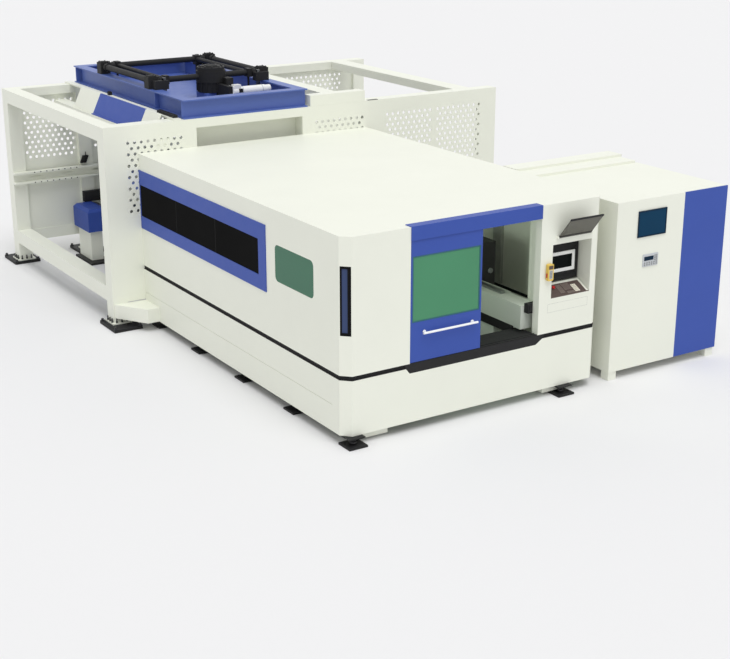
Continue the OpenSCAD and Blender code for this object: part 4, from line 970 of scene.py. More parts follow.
@dataclass
class Enclosure(Assembly):
    """Walls, roof, windows and feet of the laser enclosure."""

    foot_side: float = 0.22
    foot_rows: int = 5
    corner_foot: float = 2.85
    nut_radius: float = 0.04
    nut_height: float = 0.022
    nut_level: float = 0.036
    nut_sides: int = 6
    nut_face: Panel = Panel(0.006, 0.003, 0.0015, 1)
    pane_joints: Span = (2.765, 3.795)
    pane_joint_width: float = 0.008
    pane_joint_reach: Span = (-0.0015, 0.003)
    pane_joint_face: Panel = Panel(0.002, 0.0005, 0.0004, 1)
    pillar: Fitting = Fitting("wall_pillar", (3.268, 1.70, 0.78), (3.312, 1.855, 2.1),
                              ((Side.LEFT, Panel(0.02, -0.006, 0.002)),), GREY, "grey_paint")
    chamfer: float = 0.095
    # Dark strips under the recessed trim band: partly the trim's lower lip, partly a painted shadow line that
    # widens the band.
    lip_z: Span = (0.71, 0.7215)
    lip_reach: Span = (-0.0015, 0.006)
    lip_face: Panel = Panel(0.003, 0.0006, 0.0005, 1)
    sill_ends: Span = (0.746, 2.521)
    brackets: tuple[Box, ...] = (
        ((0.13, 0.06, 0.034), (0.56, 0.3, 0.1095)),
        ((2.62, 0.06, 0.034), (2.97, 0.3, 0.1095)),
    )
    bracket_face: Panel = Panel(0.01, -0.002, 0.002)
    lamp_middle: Point = (0.0475, 0.0475, 1.54)
    lamp_half: float = 0.038
    lamp_rise: float = 0.34
    lamp_cheek: float = 0.017
    lamp_gap: float = 0.0005
    lamp_ends: Span = (0.012, 0.006)
    lamp_reach: Span = (-0.0015, 0.004)
    lamp_face: Panel = Panel(0.002, 0.0006, 0.0005, 1)

    def build(self) -> None:
        """Models the small pieces and dresses the nodes."""
        self.finish(WHITE, "base_panels", "left_wall", "right_wall", "rear_wall", "roof", "front_left_panel")
        self.finish(BLACK, "door_sill", "enclosure_feet")
        self.finish(RUBBER, "trim_band")
        self.finish(DEEP_BLACK, "corner_lamp_bezel")
        self.finish(BLUE, "side_window_frame", "header_cap")
        self.finish(DARK_GLASS, "side_window_pane")
        self.finish(VIEW_GLASS, "side_viewport")
        self.finish(LENS, "corner_lamp_lens")
        self._foot_nuts()
        self._pane_joints()
        self.fit(self.pillar)
        self._lamp_rim()
        self._trim_lip_and_shadow_strips()
        self._foot_brackets()

    def _foot_nuts(self) -> None:
        """Models the lock nuts on the levelling screws."""
        low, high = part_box("enclosure_feet")
        middle = self.foot_side / 2
        step = (high.y - low.y - self.foot_side) / (self.foot_rows - 1)
        nut = Bench.rod("nut", (0, 0, 0), Axis.Z, self.nut_radius, self.nut_height, self.nut_sides)
        Bench.face(nut, Side.TOP, self.nut_face)
        left, right, inner = low.x + middle, high.x - middle, self.layout.at(self.corner_foot, 0.0, 0.0).x
        spots = []
        for row in range(self.foot_rows):
            y = low.y + middle + row * step
            spots += [(left, y, self.nut_level), (right if row else inner, y, self.nut_level)]
        self.keep(Bench.array(nut, "foot_nuts", Bench.shifts(spots)), BOLT, "black_paint")

    def _pane_joints(self) -> None:
        """Models the two upright joints of the long side window."""
        low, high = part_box("side_window_pane")
        half, (out, back) = self.pane_joint_width / 2, self.pane_joint_reach
        strips = []
        for run in self.pane_joints:
            y = self.layout.at(0.0, run, 0.0).y
            strip = Bench.block("strip", (low.x + out, y - half, low.z), (low.x + back, y + half, high.z))
            strips.append(Bench.face(strip, Side.LEFT, self.pane_joint_face))
        self.keep(Bench.join(strips, "side_window_joints"), RUBBER, "black_plastic")

    def _lamp_rim(self) -> None:
        """Models the dark strips over the lens of the corner lamp, on the chamfered corner."""
        half, rise, (low_end, high_end), (out, back) = (
            self.lamp_half, self.lamp_rise, self.lamp_ends, self.lamp_reach)
        inner = half - self.lamp_cheek
        bars = (
            ((inner, -rise), (half, rise)),
            ((-half, -rise), (inner - self.lamp_gap, -rise + low_end)),
            ((-half, rise - high_end), (inner - self.lamp_gap, rise)),
        )
        parts = []
        for (x0, z0), (x1, z1) in bars:
            bar = Bench.block("bar", (x0, out, z0), (x1, back, z1))
            parts.append(Bench.face(bar, Side.FRONT, self.lamp_face))
        rim = Bench.join(parts, "lamp_rim")
        rim.data.transform(
            Matrix.Translation(self.layout.at(*self.lamp_middle)) @ Matrix.Rotation(-math.pi / 4, 4, "Z")
        )
        self.keep(rim, DEEP_BLACK, "black_plastic")

    def _trim_lip_and_shadow_strips(self) -> None:
        """Models dark lip strips, partly painted shadow, under the trim along the sides, chamfers and front.
        """
        low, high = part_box("base_panels")
        width, length = high.x - low.x, high.y - low.y
        cut, (z0, z1), (sill_left, sill_right) = self.chamfer, self.lip_z, self.sill_ends
        reach = cut * math.sqrt(2)
        corner = Matrix.Rotation(-math.pi / 4, 4, "Z")
        runs = (
            (Matrix.Translation((0, length, 0)) @ Matrix.Rotation(-math.pi / 2, 4, "Z"), length - cut),
            (Matrix.Translation((0, cut, 0)) @ corner, reach),
            (Matrix.Translation((cut, 0, 0)), sill_left - cut),
            (Matrix.Translation((sill_right, 0, 0)), width - cut - sill_right),
            (Matrix.Translation((width - cut, 0, 0)) @ corner.inverted(), reach),
            (Matrix.Translation((width, cut, 0)) @ Matrix.Rotation(math.pi / 2, 4, "Z"), length - cut),
        )
        (out, back), start = self.lip_reach, Matrix.Translation(self.layout.at(0.0, 0.0, 0.0))
        parts = []
        for place, run in runs:
            lip = Bench.block("lip", (0, out, z0), (run, back, z1))
            Bench.face(lip, Side.FRONT, self.lip_face)
            lip.data.transform(start @ place)
            parts.append(lip)
        self.keep(Bench.join(parts, "trim_lips"), RUBBER, "black_paint")

    def _foot_brackets(self) -> None:
        """Models the pale brackets over the two front feet."""
        parts = [Bench.face(self.slab("bracket", low, high), Side.FRONT, self.bracket_face)
                 for low, high in self.brackets]
        self.keep(Bench.join(parts, "foot_brackets"), WHITE, "white_paint")


@dataclass
class Door(Assembly):
    """Sliding leaf with glass and handle, its tracks and the fixed glazing."""

    body: str = "sliding_door"
    window_low: Point = (0.815, 0.006, 1.191)
    window_high: Point = (1.67, 0.0105, 1.891)
    gasket: float = 0.015
    gasket_edge: float = 0.0012
    grip_x: Span = (0.9675, 1.5775)
    grip_z: float = 1.0763
    rose_y: float = 0.001
    rose_radius: float = 0.019
    rose_height: float = 0.007
    rose_face: Panel = Panel(0.006, 0.002, 0.001)

    def build(self) -> None:
        """Models the small pieces and dresses the nodes."""
        self.finish(BLUE, "door_leaf")
        self.finish(GREEN_GLASS, "door_glass", "fixed_window")
        self.finish(WHITE_PLASTIC, "door_handle")
        self.finish(BLACK, "door_rails")
        self._gasket()
        self._roses()

    def _gasket(self) -> None:
        """Models the rubber gasket round the glass."""
        low, high = self.layout.at(*self.window_low), self.layout.at(*self.window_high)
        ring = Bench.ring("door_gasket", low, high, Side.FRONT, self.gasket, self.gasket_edge)
        self.keep(ring, TEAL_RUBBER, "black_plastic")

    def _roses(self) -> None:
        """Models the round plates under the handle's legs."""
        rose = Bench.rod("rose", (0, 0, 0), Axis.Y, self.rose_radius, self.rose_height)
        Bench.face(rose, Side.FRONT, self.rose_face)
        spots = self.spots((x, self.rose_y, self.grip_z) for x in self.grip_x)
        self.keep(Bench.array(rose, "handle_roses", Bench.shifts(spots)), WHITE_PLASTIC, "white_paint")


@dataclass(frozen=True)
class KeyCluster:
    """Sizes and finish of one cluster of keys: left column, lowest row, key size, pitch, columns and rows."""

    name: str
    left: float
    low: float
    size: float
    pitch: float
    columns: int
    rows: int
    finish: CoatFinish
    slot: str


@dataclass
class Console(Assembly):
    """Operator console with screen, tray, stop button, lid and pendant."""

    screen_low: Point = (2.70, 0.188, 1.362)
    screen_high: Point = (3.115, 0.2025, 1.588)
    screen_border: float = 0.038
    screen_edge: float = 0.002
    screen_lap: float = 0.001
    screen_back: float = 0.006
    screen_face: Panel = Panel(0.004, -0.001, 0.0005, 1)
    tray_start: Span = (0.002, 1.156)
    tray_slope: float = math.radians(26.565)
    tray_left: float = 2.64
    tray_width: float = 0.534
    tray_length: float = 0.2135
    strip_width: float = 0.03
    strip_start: float = 0.002
    strip_half: float = 0.002
    strip_face: Panel = Panel(0.003, 0.0006, 0.0006, 1)
    key_height: float = 0.006
    key_root: float = -0.001
    key_skirt_share: float = 0.6
    key_border_share: float = 0.3
    key_top_share: float = 0.4
    drawer: Box = ((2.595, -0.0008, 0.99), (3.16, 0.004, 1.088))
    drawer_joint: float = 0.0018
    drawer_edge: float = 0.0003
    lid_corner: Point = (2.696, -0.014, 1.825)
    lid_open: float = math.radians(141.0)
    lid_width: float = 0.452
    lid_trim: float = 0.017
    lid_trim_lows: Span = (-0.303, -0.031)
    lid_trim_half: float = 0.0085
    lid_trim_over: float = 0.001
    lid_trim_face: Panel = Panel(0.004, 0.001, 0.001)
    pendant_field: Fitting = Fitting("pendant_field", (2.562, -0.0475, 1.388), (2.605, -0.044, 1.486),
                                     ((Side.FRONT, Panel(0.004, -0.001, 0.0008, 1)),),
                                     PALE_PLATE, "grey_paint")
    pendant_key: Box = ((-0.005, -0.004, -0.005), (0.005, 0.001, 0.005))
    pendant_key_face: Panel = Panel(0.0015, 0.0012)
    pendant_key_first: Point = (2.5715, -0.045, 1.404)
    pendant_key_pitch: Span = (0.012, 0.0165)
    pendant_key_count: tuple[int, int] = (3, 5)
    pendant_display: Fitting = Fitting("pendant_display", (2.554, -0.048, 1.497), (2.611, -0.044, 1.536),
                                       ((Side.FRONT, Panel(0.005, -0.0015, 0.0008, 1)),),
                                       BROWN_PLASTIC, "brown_plastic")
    pendant_button: Fitting = Fitting("pendant_button", (2.5395, -0.033, 1.405), (2.547, -0.017, 1.452),
                                      ((Side.LEFT, Panel(0.003, 0.0015, 0.001, 1)),),
                                      RED_PLASTIC, "red_plastic")
    clusters: tuple[KeyCluster, ...] = (
        KeyCluster("left_keys", 2.812, 0.04, 0.011, 0.0165, 4, 8, KEY_PLASTIC, "brown_plastic"),
        KeyCluster("middle_keys", 2.892, 0.075, 0.0115, 0.0175, 6, 6, KEY_PLASTIC, "brown_plastic"),
        KeyCluster("right_keys", 3.012, 0.03, 0.0188, 0.0235, 3, 5, CREAM_PLASTIC, "white_paint"),
        KeyCluster("front_keys", 2.9, 0.02, 0.011, 0.0165, 6, 2, KEY_PLASTIC, "brown_plastic"),
    )

    def build(self) -> None:
        """Models the small pieces and dresses the nodes."""
        self.finish(WHITE, "console_housing")
        self.finish(BLACK_PLASTIC, "monitor")
        self.finish(BROWN_PLASTIC, "keyboard_tray")
        self.finish(RED_PLASTIC, "emergency_stop")
        self.finish(SMOKE, "console_lid")
        self.finish(YELLOW_PLASTIC, "pendant")
        self._screen()
        for cluster in self.clusters:
            self._keys(cluster)
        self._tray_border()
        self._drawer()
        self._lid_trims()
        self._pendant_face()

    def _screen(self) -> None:
        """Models the pale screen frame and the dark screen in it."""
        low, high = self.layout.at(*self.screen_low), self.layout.at(*self.screen_high)
        border = Bench.ring("screen_frame", low, high, Side.FRONT, self.screen_border, self.screen_edge)
        self.keep(border, WHITE_PLASTIC, "white_paint")
        inside = Vector((1.0, 0.0, 1.0)) * (self.screen_border - self.screen_lap)
        back = Vector((0.0, self.screen_back, 0.0))
        screen = Bench.block("screen", low + inside + back, high - inside)
        self.keep(Bench.face(screen, Side.FRONT, self.screen_face), SCREEN, "screen_glass")

    def _tray_place(self, x: float, along: float) -> Matrix:
        """Finds a place on the sloping tray.

        Args:
            x: Layout place across the tray.
            along: Way up the slope from the tray's front edge.

        Returns:
            The place, turned to the slope.
        """
        y, z = self.tray_start
        spot = self.layout.at(x, y + along * math.cos(self.tray_slope), z + along * math.sin(self.tray_slope))
        return Matrix.Translation(spot) @ Matrix.Rotation(self.tray_slope, 4, "X")

    def _keys(self, cluster: KeyCluster) -> None:
        """Models one cluster of keys on the sloping tray.

        Args:
            cluster: The cluster's sizes and finish.
        """
        half, top = cluster.size / 2, self.key_height
        key = Bench.block("key", (-half, -half, self.key_root), (half, half, top * self.key_skirt_share))
        Bench.face(key, Side.TOP, Panel(half * self.key_border_share, top * self.key_top_share))
        places = [self._tray_place(cluster.left + column * cluster.pitch, cluster.low + row * cluster.pitch)
                  for row in range(cluster.rows) for column in range(cluster.columns)]
        self.keep(Bench.array(key, cluster.name, places), cluster.finish, cluster.slot)

    def _tray_border(self) -> None:
        """Models the pale strips behind and beside the tray's dark field."""
        across, length, strip, half = self.tray_width, self.tray_length, self.strip_width, self.strip_half
        boxes = (
            ((0, length - strip, -half), (across, length, half)),
            ((across - strip, self.strip_start, -half), (across, length - strip, half)),
        )
        parts = [Bench.face(Bench.block("strip", low, high), Side.TOP, self.strip_face)
                 for low, high in boxes]
        border = Bench.join(parts, "tray_border")
        border.data.transform(self._tray_place(self.tray_left, 0.0))
        self.keep(border, WHITE, "white_paint")

    def _drawer(self) -> None:
        """Models the fine joint round the drawer front under the tray."""
        low, high = self.layout.at(*self.drawer[0]), self.layout.at(*self.drawer[1])
        joint = Bench.ring("drawer_joint", low, high, Side.FRONT, self.drawer_joint, self.drawer_edge)
        self.keep(joint, GREY, "grey_paint")

    def _lid_trims(self) -> None:
        """Models the dark strips along the lid's hinge edge and free edge."""
        half, over = self.lid_trim_half, self.lid_trim_over
        strips = []
        for low in self.lid_trim_lows:
            high = low + self.lid_trim
            strip = Bench.block("strip", (-over, -half, low), (self.lid_width + over, half, high))
            strips.append(Bench.face(strip, Side.FRONT, self.lid_trim_face))
        trims = Bench.join(strips, "lid_trims")
        trims.data.transform(
            Matrix.Translation(self.layout.at(*self.lid_corner)) @ Matrix.Rotation(-self.lid_open, 4, "X")
        )
        self.keep(trims, BLACK_PLASTIC, "black_plastic", "lid")

    def _pendant_face(self) -> None:
        """Models the pendant's key field, keys, display and side button."""
        self.fit(self.pendant_field)
        key = Bench.face(Bench.block("key", *self.pendant_key), Side.FRONT, self.pendant_key_face)
        (x, y, z), (step_x, step_z) = self.pendant_key_first, self.pendant_key_pitch
        columns, rows = self.pendant_key_count
        spots = self.spots((x + step_x * i, y, z + step_z * j) for i in range(columns) for j in range(rows))
        self.keep(Bench.array(key, "pendant_keys", Bench.shifts(spots)), GREY_PLASTIC, "grey_paint")
        self.fit(self.pendant_display)
        self.fit(self.pendant_button)


@dataclass
class Gantry(Assembly):
    """Bed, gantry, cutting head and pallets."""

    bumper: Fitting = Fitting("bed_stop", (2.415, 0.112, 0.98), (2.552, 0.181, 1.088),
                              ((Side.FRONT, Panel(0.018, 0.01)), (Side.TOP, Panel(0.012, -0.004, 0.004))),
                              BLACK, "black_paint")
    skirt_x: tuple[tuple[float, float, Side], ...] = ((0.689, 0.698, Side.RIGHT), (2.362, 2.371, Side.LEFT))
    skirt_y: Span = (0.3, 4.58)
    skirt_z: Span = (0.70, 0.8)
    skirt_face: Panel = Panel(0.01, -0.002, 0.001, 1)
    cap_middle: Point = (2.725, 1.19, 1.158)
    cap_radius: float = 0.03
    cap_length: float = 0.024
    cap_faces: tuple[Panel, Panel] = (Panel(0.007, 0.005), Panel(0.008, -0.004, 0.0015))
    slat_left: float = 0.79
    slat_right: float = 2.27
    slat_step: float = 0.1038
    slat_first: float = 0.1738
    slat_count: int = 28
    tooth_pitch: float = 0.074
    tooth_share: float = 0.32
    tooth_half: float = 0.0015
    tooth_foot: Span = (-0.002, 0.001)
    tooth_height: float = 0.009
    tooth_tip: Point = (0.12, 0.8, 1.0)
    pallets: tuple[tuple[str, float, float], ...] = (("pallet_a", 1.0, 0.9303), ("pallet_b", 5.15, 0.7103))

    def build(self) -> None:
        """Models the small pieces and dresses the nodes."""
        self.finish(BED_PAINT, "bed_frame")
        self.finish(GREY, "gantry_beam")
        self.finish(TRUCK_PAINT, "gantry_carriages", "head_carriage")
        self.finish(STEEL_CROSS, "guide_rails", "table_rails")
        self.finish(STEEL, "cutting_head", "upper_pallet", "lower_pallet")
        self.fit(self.bumper)
        self._skirts()
        self._truck_cap()
        for body, front, top in self.pallets:
            self._slat_teeth(body, front, top)

    def _skirts(self) -> None:
        """Models the dark skirts along the inner sides of the bed beams."""
        (front, back), (low, high) = self.skirt_y, self.skirt_z
        parts = []
        for left, right, side in self.skirt_x:
            strip = self.slab("strip", (left, front, low), (right, back, high))
            parts.append(Bench.face(strip, side, self.skirt_face))
        self.keep(Bench.join(parts, "bed_skirts"), BLACK, "black_paint")

    def _truck_cap(self) -> None:
        """Models the round bearing cap on the right end truck."""
        middle = self.layout.at(*self.cap_middle)
        cap = Bench.rod("truck_cap", middle, Axis.Y, self.cap_radius, self.cap_length)
        Bench.face(cap, Side.FRONT, *self.cap_faces)
        self.keep(cap, GREY_PLASTIC, "grey_paint", "gantry")

    def _slat_teeth(self, body: str, front: float, top: float) -> None:
        """Models the pointed teeth on a pallet's slats.

        Args:
            body: The pallet's body.
            front: Layout place of the pallet's front edge.
            top: Height of the slats.
        """
        half, thick, (root, foot) = self.tooth_pitch * self.tooth_share, self.tooth_half, self.tooth_foot
        tooth = Bench.block("tooth", (-half, -thick, root), (half, thick, foot))
        Bench.pick(tooth, Side.TOP)
        rise = (0.0, 0.0, self.tooth_height - foot)
        bpy.ops.mesh.extrude_region_move(TRANSFORM_OT_translate={"value": rise})
        bpy.ops.transform.resize(value=self.tooth_tip)
        bpy.ops.object.mode_set(mode="OBJECT")
        count = int((self.slat_right - self.slat_left) / self.tooth_pitch)
        spots = self.spots(
            (self.slat_left + (i + 0.5) * self.tooth_pitch, front + self.slat_first + j * self.slat_step, top)
            for j in range(self.slat_count) for i in range(count)
        )
        self.keep(Bench.array(tooth, f"{body}_teeth", Bench.shifts(spots)), STEEL, "bare_steel", body)


@dataclass
class Tower(Assembly):
    """Posts, beams, sheets, pads and columns of the loading tower."""

    pad_top: float = 0.04
    anchor_x: float = 0.165
    anchor_y: float = 0.22
    anchor_radius: float = 0.018
    anchor_height: float = 0.024
    pads: tuple[Span, ...] = (
        (-0.35, 4.865), (5.48, 4.865), (3.44, 5.035),
        (-0.35, 8.575), (0.68, 8.575), (3.44, 8.575), (5.48, 8.575),
    )
    post_width: float = 0.2
    plate_top: float = 0.06
    front_posts: tuple[float, ...] = (-0.45, 3.34, 5.38)
    back_posts: tuple[float, ...] = (-0.45, 0.58, 3.34, 5.38)
    front_y: float = 4.85
    back_y: float = 8.39
    stud_out: float = 0.015
    stud_shares: tuple[float, ...] = (0.15, 0.5, 0.85)
    stud_middle: float = 0.027
    stud_radius: float = 0.008
    stud_length: float = 0.056
    stud_sides: int = 12
    stud_nut_middle: float = 0.009
    stud_nut_radius: float = 0.0135
    stud_nut_height: float = 0.02
    stud_nut_sides: int = 6
    stud_face: Panel = Panel(0.002, 0.0015)
    switch: Box = ((0.575, 8.332, 1.395), (0.655, 8.392, 1.50))
    switch_lean: Point = (0.045, 0.0, 0.0)
    switch_face: Panel = Panel(0.012, 0.006, 0.003)
    lever_middle: Point = (0.655, 8.344, 1.52)
    lever_radius: float = 0.006
    lever_length: float = 0.07
    lever_face: Panel = Panel(0.0015, 0.004, 0.001, 1)
    drive_box: Fitting = Fitting("exchange_drive_box", (0.582, 8.31, 0.812), (0.89, 8.392, 0.965),
                                 ((Side.FRONT, Panel(0.014, 0.006)), (Side.TOP, Panel(0.012, -0.004, 0.004))),
                                 BLACK, "black_paint")
    top_blocks: tuple[tuple[Point, Point, Panel], ...] = (
        ((0.535, 4.93, 2.576), (0.596, 5.43, 2.612), Panel(0.012, -0.006, 0.0012, 1)),
        ((0.55, 7.04, 2.576), (0.598, 7.10, 2.622), Panel(0.01, 0.006, 0.0012, 1)),
        ((3.40, 4.858, 2.554), (3.562, 4.904, 2.559), Panel(0.006, -0.002, 0.0012, 1)),
    )
    channel_screws: int = 8
    channel_y: float = 8.3
    channel_rows: Span = (1.2, 1.35)
    channel_screw: float = 0.006

    def build(self) -> None:
        """Models the small pieces and dresses the nodes."""
        self.finish(WHITE, "tower_posts", "tower_beams", "front_screen_left", "front_screen_right",
                    "back_wall_panels", "link_duct", "support_columns", "side_cover_white")
        self.finish(BLACK, "tower_pads")
        self.finish(BLUE, "column_caps", "side_cover_blue")
        self._anchors()
        self._studs()
        self._switch()
        self.fit(self.drive_box)
        self._roof_blocks()
        self._channel_screws()

    def _anchors(self) -> None:
        """Models the anchor bolts on the floor pads."""
        places = self.spots(
            (x + i * self.anchor_x, y + j * self.anchor_y, self.pad_top)
            for x, y in self.pads for i in (-1, 1) for j in (-1, 1)
        )
        self.bolts("pad_anchors", places, self.anchor_radius, self.anchor_height)

    def _studs(self) -> None:
        """Models the studs with nuts on the posts' foot plates."""
        w, out = self.post_width, self.stud_out
        shares = [w * share for share in self.stud_shares]
        places: list[Point] = []
        rows = [(x, self.front_y) for x in self.front_posts] + [(x, self.back_y) for x in self.back_posts]
        for x, y in rows:
            places += [(x + share, y - out, self.plate_top) for share in shares]
            places += [(x - out, y + share, self.plate_top) for share in shares]
            if x == self.front_posts[-1]:
                places += [(x + w + out, y + share, self.plate_top) for share in shares]
            if y == self.back_y:
                places += [(x + share, y + w + out, self.plate_top) for share in shares]
        stud = Bench.rod("stud", (0, 0, self.stud_middle), Axis.Z, self.stud_radius, self.stud_length,
                         self.stud_sides)
        nut = Bench.rod("nut", (0, 0, self.stud_nut_middle), Axis.Z, self.stud_nut_radius,
                        self.stud_nut_height, self.stud_nut_sides)
        both = Bench.join([Bench.face(part, Side.TOP, self.stud_face) for part in (stud, nut)], "stud")
        studs = Bench.array(both, "post_studs", Bench.shifts(self.spots(places)))
        self.keep(studs, BOLT, "black_paint")

    def _switch(self) -> None:
        """Models the limit switch on the inner back post."""
        case = self.slab("case", *self.switch)
        Bench.lean(case, Side.TOP, self.switch_lean)
        Bench.face(case, Side.FRONT, self.switch_face)
        middle = self.layout.at(*self.lever_middle)
        lever = Bench.rod("lever", middle, Axis.Z, self.lever_radius, self.lever_length)
        Bench.face(lever, Side.TOP, self.lever_face)
        self.keep(Bench.join([case, lever], "limit_switch"), BLACK_PLASTIC, "black_plastic")

    def _roof_blocks(self) -> None:
        """Models the small dark blocks on the tower's top."""
        parts = [Bench.face(self.slab("block", low, high), Side.TOP, panel)
                 for low, high, panel in self.top_blocks]
        self.keep(Bench.join(parts, "top_blocks"), BLACK, "black_paint")

    def _channel_screws(self) -> None:
        """Models the screws along the back channel's lips."""
        left, right = self.back_posts[0] + self.post_width, self.back_posts[1]
        step = (right - left) / (self.channel_screws + 1)
        places = self.spots(
            (left + (i + 1) * step, self.channel_y, z)
            for i in range(self.channel_screws) for z in self.channel_rows
        )
        self.bolts("channel_screws", places, self.channel_screw, self.channel_screw, Side.FRONT)


@dataclass
class Lift(Assembly):
    """Girder frame, drive and lifting frame on top of the tower."""

    gear_x: Span = (0.725, 2.375)
    gear_y: Span = (5.99, 7.61)
    gear_top: float = 2.954
    lid_half: float = 0.056
    lid_root: float = -0.001
    lid_height: float = 0.01
    lid_face: Panel = Panel(0.024, 0.006, 0.002)
    lid_bolt: float = 0.042
    lid_bolt_size: float = 0.008
    shaft_z: float = 2.896
    collar_from_gear: float = 0.132
    collar_reach: float = 0.052
    screw_radius: float = 0.009
    screw_length: float = 0.012
    screw_sides: int = 12
    screw_face: Panel = Panel(0.004, -0.004)
    reducer: Span = (1.6, 5.99)
    reducer_top: float = 3.02
    rib_count: int = 16
    rib: Box = ((0.182, -0.006, 2.7), (0.198, 0.006, 2.815))
    rib_face: Panel = Panel(0.002, 0.002, 0.001, 1)
    cap_rise: float = 0.006
    cap_radius: float = 0.125
    cap_height: float = 0.014
    cap_sides: int = 48
    cap_faces: tuple[Panel, Panel] = (Panel(0.035, 0.01), Panel(0.03, -0.005, 0.002))
    cap_bolt_count: int = 10
    cap_bolt_circle: float = 0.155
    cap_bolt_radius: float = 0.011
    cap_bolt_height: float = 0.012
    motor_axis: Span = (5.55, 2.73)
    motor_joints: Span = (1.835, 2.13)
    motor_joint_radius: float = 0.0605
    motor_joint_width: float = 0.012
    motor_joint_face: Panel = Panel(0.002, 0.001, 0.0008, 1)
    motor_plate: Fitting = Fitting("motor_plate", (1.768, 5.486, 2.717), (1.822, 5.504, 2.767),
                                   ((Side.FRONT, Panel(0.006, -0.002, 0.002)),),
                                   BLACK_PLASTIC, "black_plastic")
    stiffener_x: tuple[tuple[float, float, Side], ...] = (
        (0.658, 0.7195, Side.LEFT), (2.3805, 2.442, Side.RIGHT))
    stiffener_y: Span = (5.745, 5.755)
    stiffener_z: Span = (2.5725, 2.7795)
    stiffener_face: Panel = Panel(0.002, 0.002, 0.001, 1)
    cup_x: tuple[float, ...] = (1.07, 1.55, 2.03)
    cup_y: tuple[float, ...] = (5.84, 6.48, 7.12, 7.76)
    cup_bottom: float = 1.16
    cup_radius: float = 0.055
    cup_lip_middle: float = -0.005
    cup_lip_height: float = 0.012
    cup_lip_sides: int = 28
    cup_lip_flare: Point = (1.1, 1.1, 1.0)
    cup_lip_face: Panel = Panel(0.008, -0.006, 0.0015)
    rack_x: Span = (0.85, 2.25)
    rack_y: Span = (5.86, 7.74)
    rack_half: float = 0.02
    rack_teeth: int = 78
    tooth_depth: float = 0.007

    def build(self) -> None:
        """Models the small pieces and dresses the nodes."""
        # The lift frame and carrier take the blue with painted sheen, lighter than the door blue.
        self.finish(GIRDER_BLUE_WITH_PAINTED_SHEEN, "lift_frame", "lift_carrier")
        self.finish(BLACK, "gearboxes", "reducer", "shaft_left", "shaft_right", "shaft_back", "shaft_front")
        self.finish(ENAMEL, "lift_motor")
        self.finish(STEEL_TALL, "rack_bars")
        self._gearbox_lids()
        self._collar_screws()
        self._reducer_ribs()
        self._reducer_cap()
        self._motor_trim()
        self._stiffeners()
        self._cup_lips()
        self._racks()

    def _gearbox_lids(self) -> None:
        """Models the bolted lids of the corner gearboxes."""
        half, top = self.lid_half, self.lid_height
        lid = Bench.block("lid", (-half, -half, self.lid_root), (half, half, top))
        Bench.face(lid, Side.TOP, self.lid_face)
        spots = self.spots((x, y, self.gear_top) for x in self.gear_x for y in self.gear_y)
        self.keep(Bench.array(lid, "gearbox_lids", Bench.shifts(spots)), BLACK, "black_paint")
        places = [spot + Vector((i * self.lid_bolt, j * self.lid_bolt, top))
                  for spot in spots for i in (-1, 1) for j in (-1, 1)]
        self.bolts("gearbox_lid_bolts", places, self.lid_bolt_size, self.lid_bolt_size)

    def _collar_screws(self) -> None:
        """Models the clamp screws of the shaft collars, which turn with the shafts."""
        (left, right), (front, back), reach = self.gear_x, self.gear_y, self.collar_from_gear
        collars = {
            "shaft_l": ((left, front + reach), (left, back - reach)),
            "shaft_r": ((right, front + reach), (right, back - reach)),
            "shaft_f": ((left + reach, front), (right - reach, front)),
            "shaft_b": ((left + reach, back), (right - reach, back)),
        }
        for body, spots in collars.items():
            parts = []
            for x, y in spots:
                for way, side in ((-1, Side.BOTTOM), (1, Side.TOP)):
                    middle = self.layout.at(x, y, self.shaft_z + way * self.collar_reach)
                    screw = Bench.rod("screw", middle, Axis.Z, self.screw_radius, self.screw_length,
                                      self.screw_sides)
                    parts.append(Bench.face(screw, side, self.screw_face))
            self.keep(Bench.join(parts, f"{body}_collar_screws"), BOLT, "black_paint", body)

    def _reducer_ribs(self) -> None:
        """Models the cooling ribs round the reducer's lower barrel."""
        rib = Bench.face(Bench.block("rib", *self.rib), Side.RIGHT, self.rib_face)
        middle = Matrix.Translation(self.layout.at(*self.reducer, 0.0))
        step = 2 * math.pi / self.rib_count
        turns = [middle @ Matrix.Rotation(i * step, 4, "Z") for i in range(self.rib_count)]
        self.keep(Bench.array(rib, "reducer_ribs", turns), BLACK, "black_paint")

    def _reducer_cap(self) -> None:
        """Models the bolted cap on top of the reducer."""
        middle = self.layout.at(*self.reducer, self.reducer_top + self.cap_rise)
        cap = Bench.rod("reducer_cap", middle, Axis.Z, self.cap_radius, self.cap_height, self.cap_sides)
        self.keep(Bench.face(cap, Side.TOP, *self.cap_faces), BLACK, "black_paint")
        (x, y), circle = self.reducer, self.cap_bolt_circle
        angles = [2 * math.pi * i / self.cap_bolt_count for i in range(self.cap_bolt_count)]
        places = self.spots(
            (x + circle * math.cos(a), y + circle * math.sin(a), self.reducer_top) for a in angles)
        self.bolts("reducer_bolts", places, self.cap_bolt_radius, self.cap_bolt_height)

    def _motor_trim(self) -> None:
        """Models the motor's joint rings and its dark front plate."""
        rings = []
        for x in self.motor_joints:
            middle = self.layout.at(x, *self.motor_axis)
            ring = Bench.rod("ring", middle, Axis.X, self.motor_joint_radius, self.motor_joint_width)
            rings.append(Bench.face(ring, Side.RIGHT, self.motor_joint_face))
        self.keep(Bench.join(rings, "motor_joints"), PALE_PLATE, "grey_paint")
        self.fit(self.motor_plate)

    def _stiffeners(self) -> None:
        """Models the web stiffeners on the outer sides of the long girders."""
        (front, back), (low, high) = self.stiffener_y, self.stiffener_z
        parts = []
        for left, right, side in self.stiffener_x:
            plate = self.slab("plate", (left, front, low), (right, back, high))
            parts.append(Bench.face(plate, side, self.stiffener_face))
        # The stiffeners take the same blue with painted sheen.
        self.keep(Bench.join(parts, "girder_stiffeners"), GIRDER_BLUE_WITH_PAINTED_SHEEN, "blue_paint")

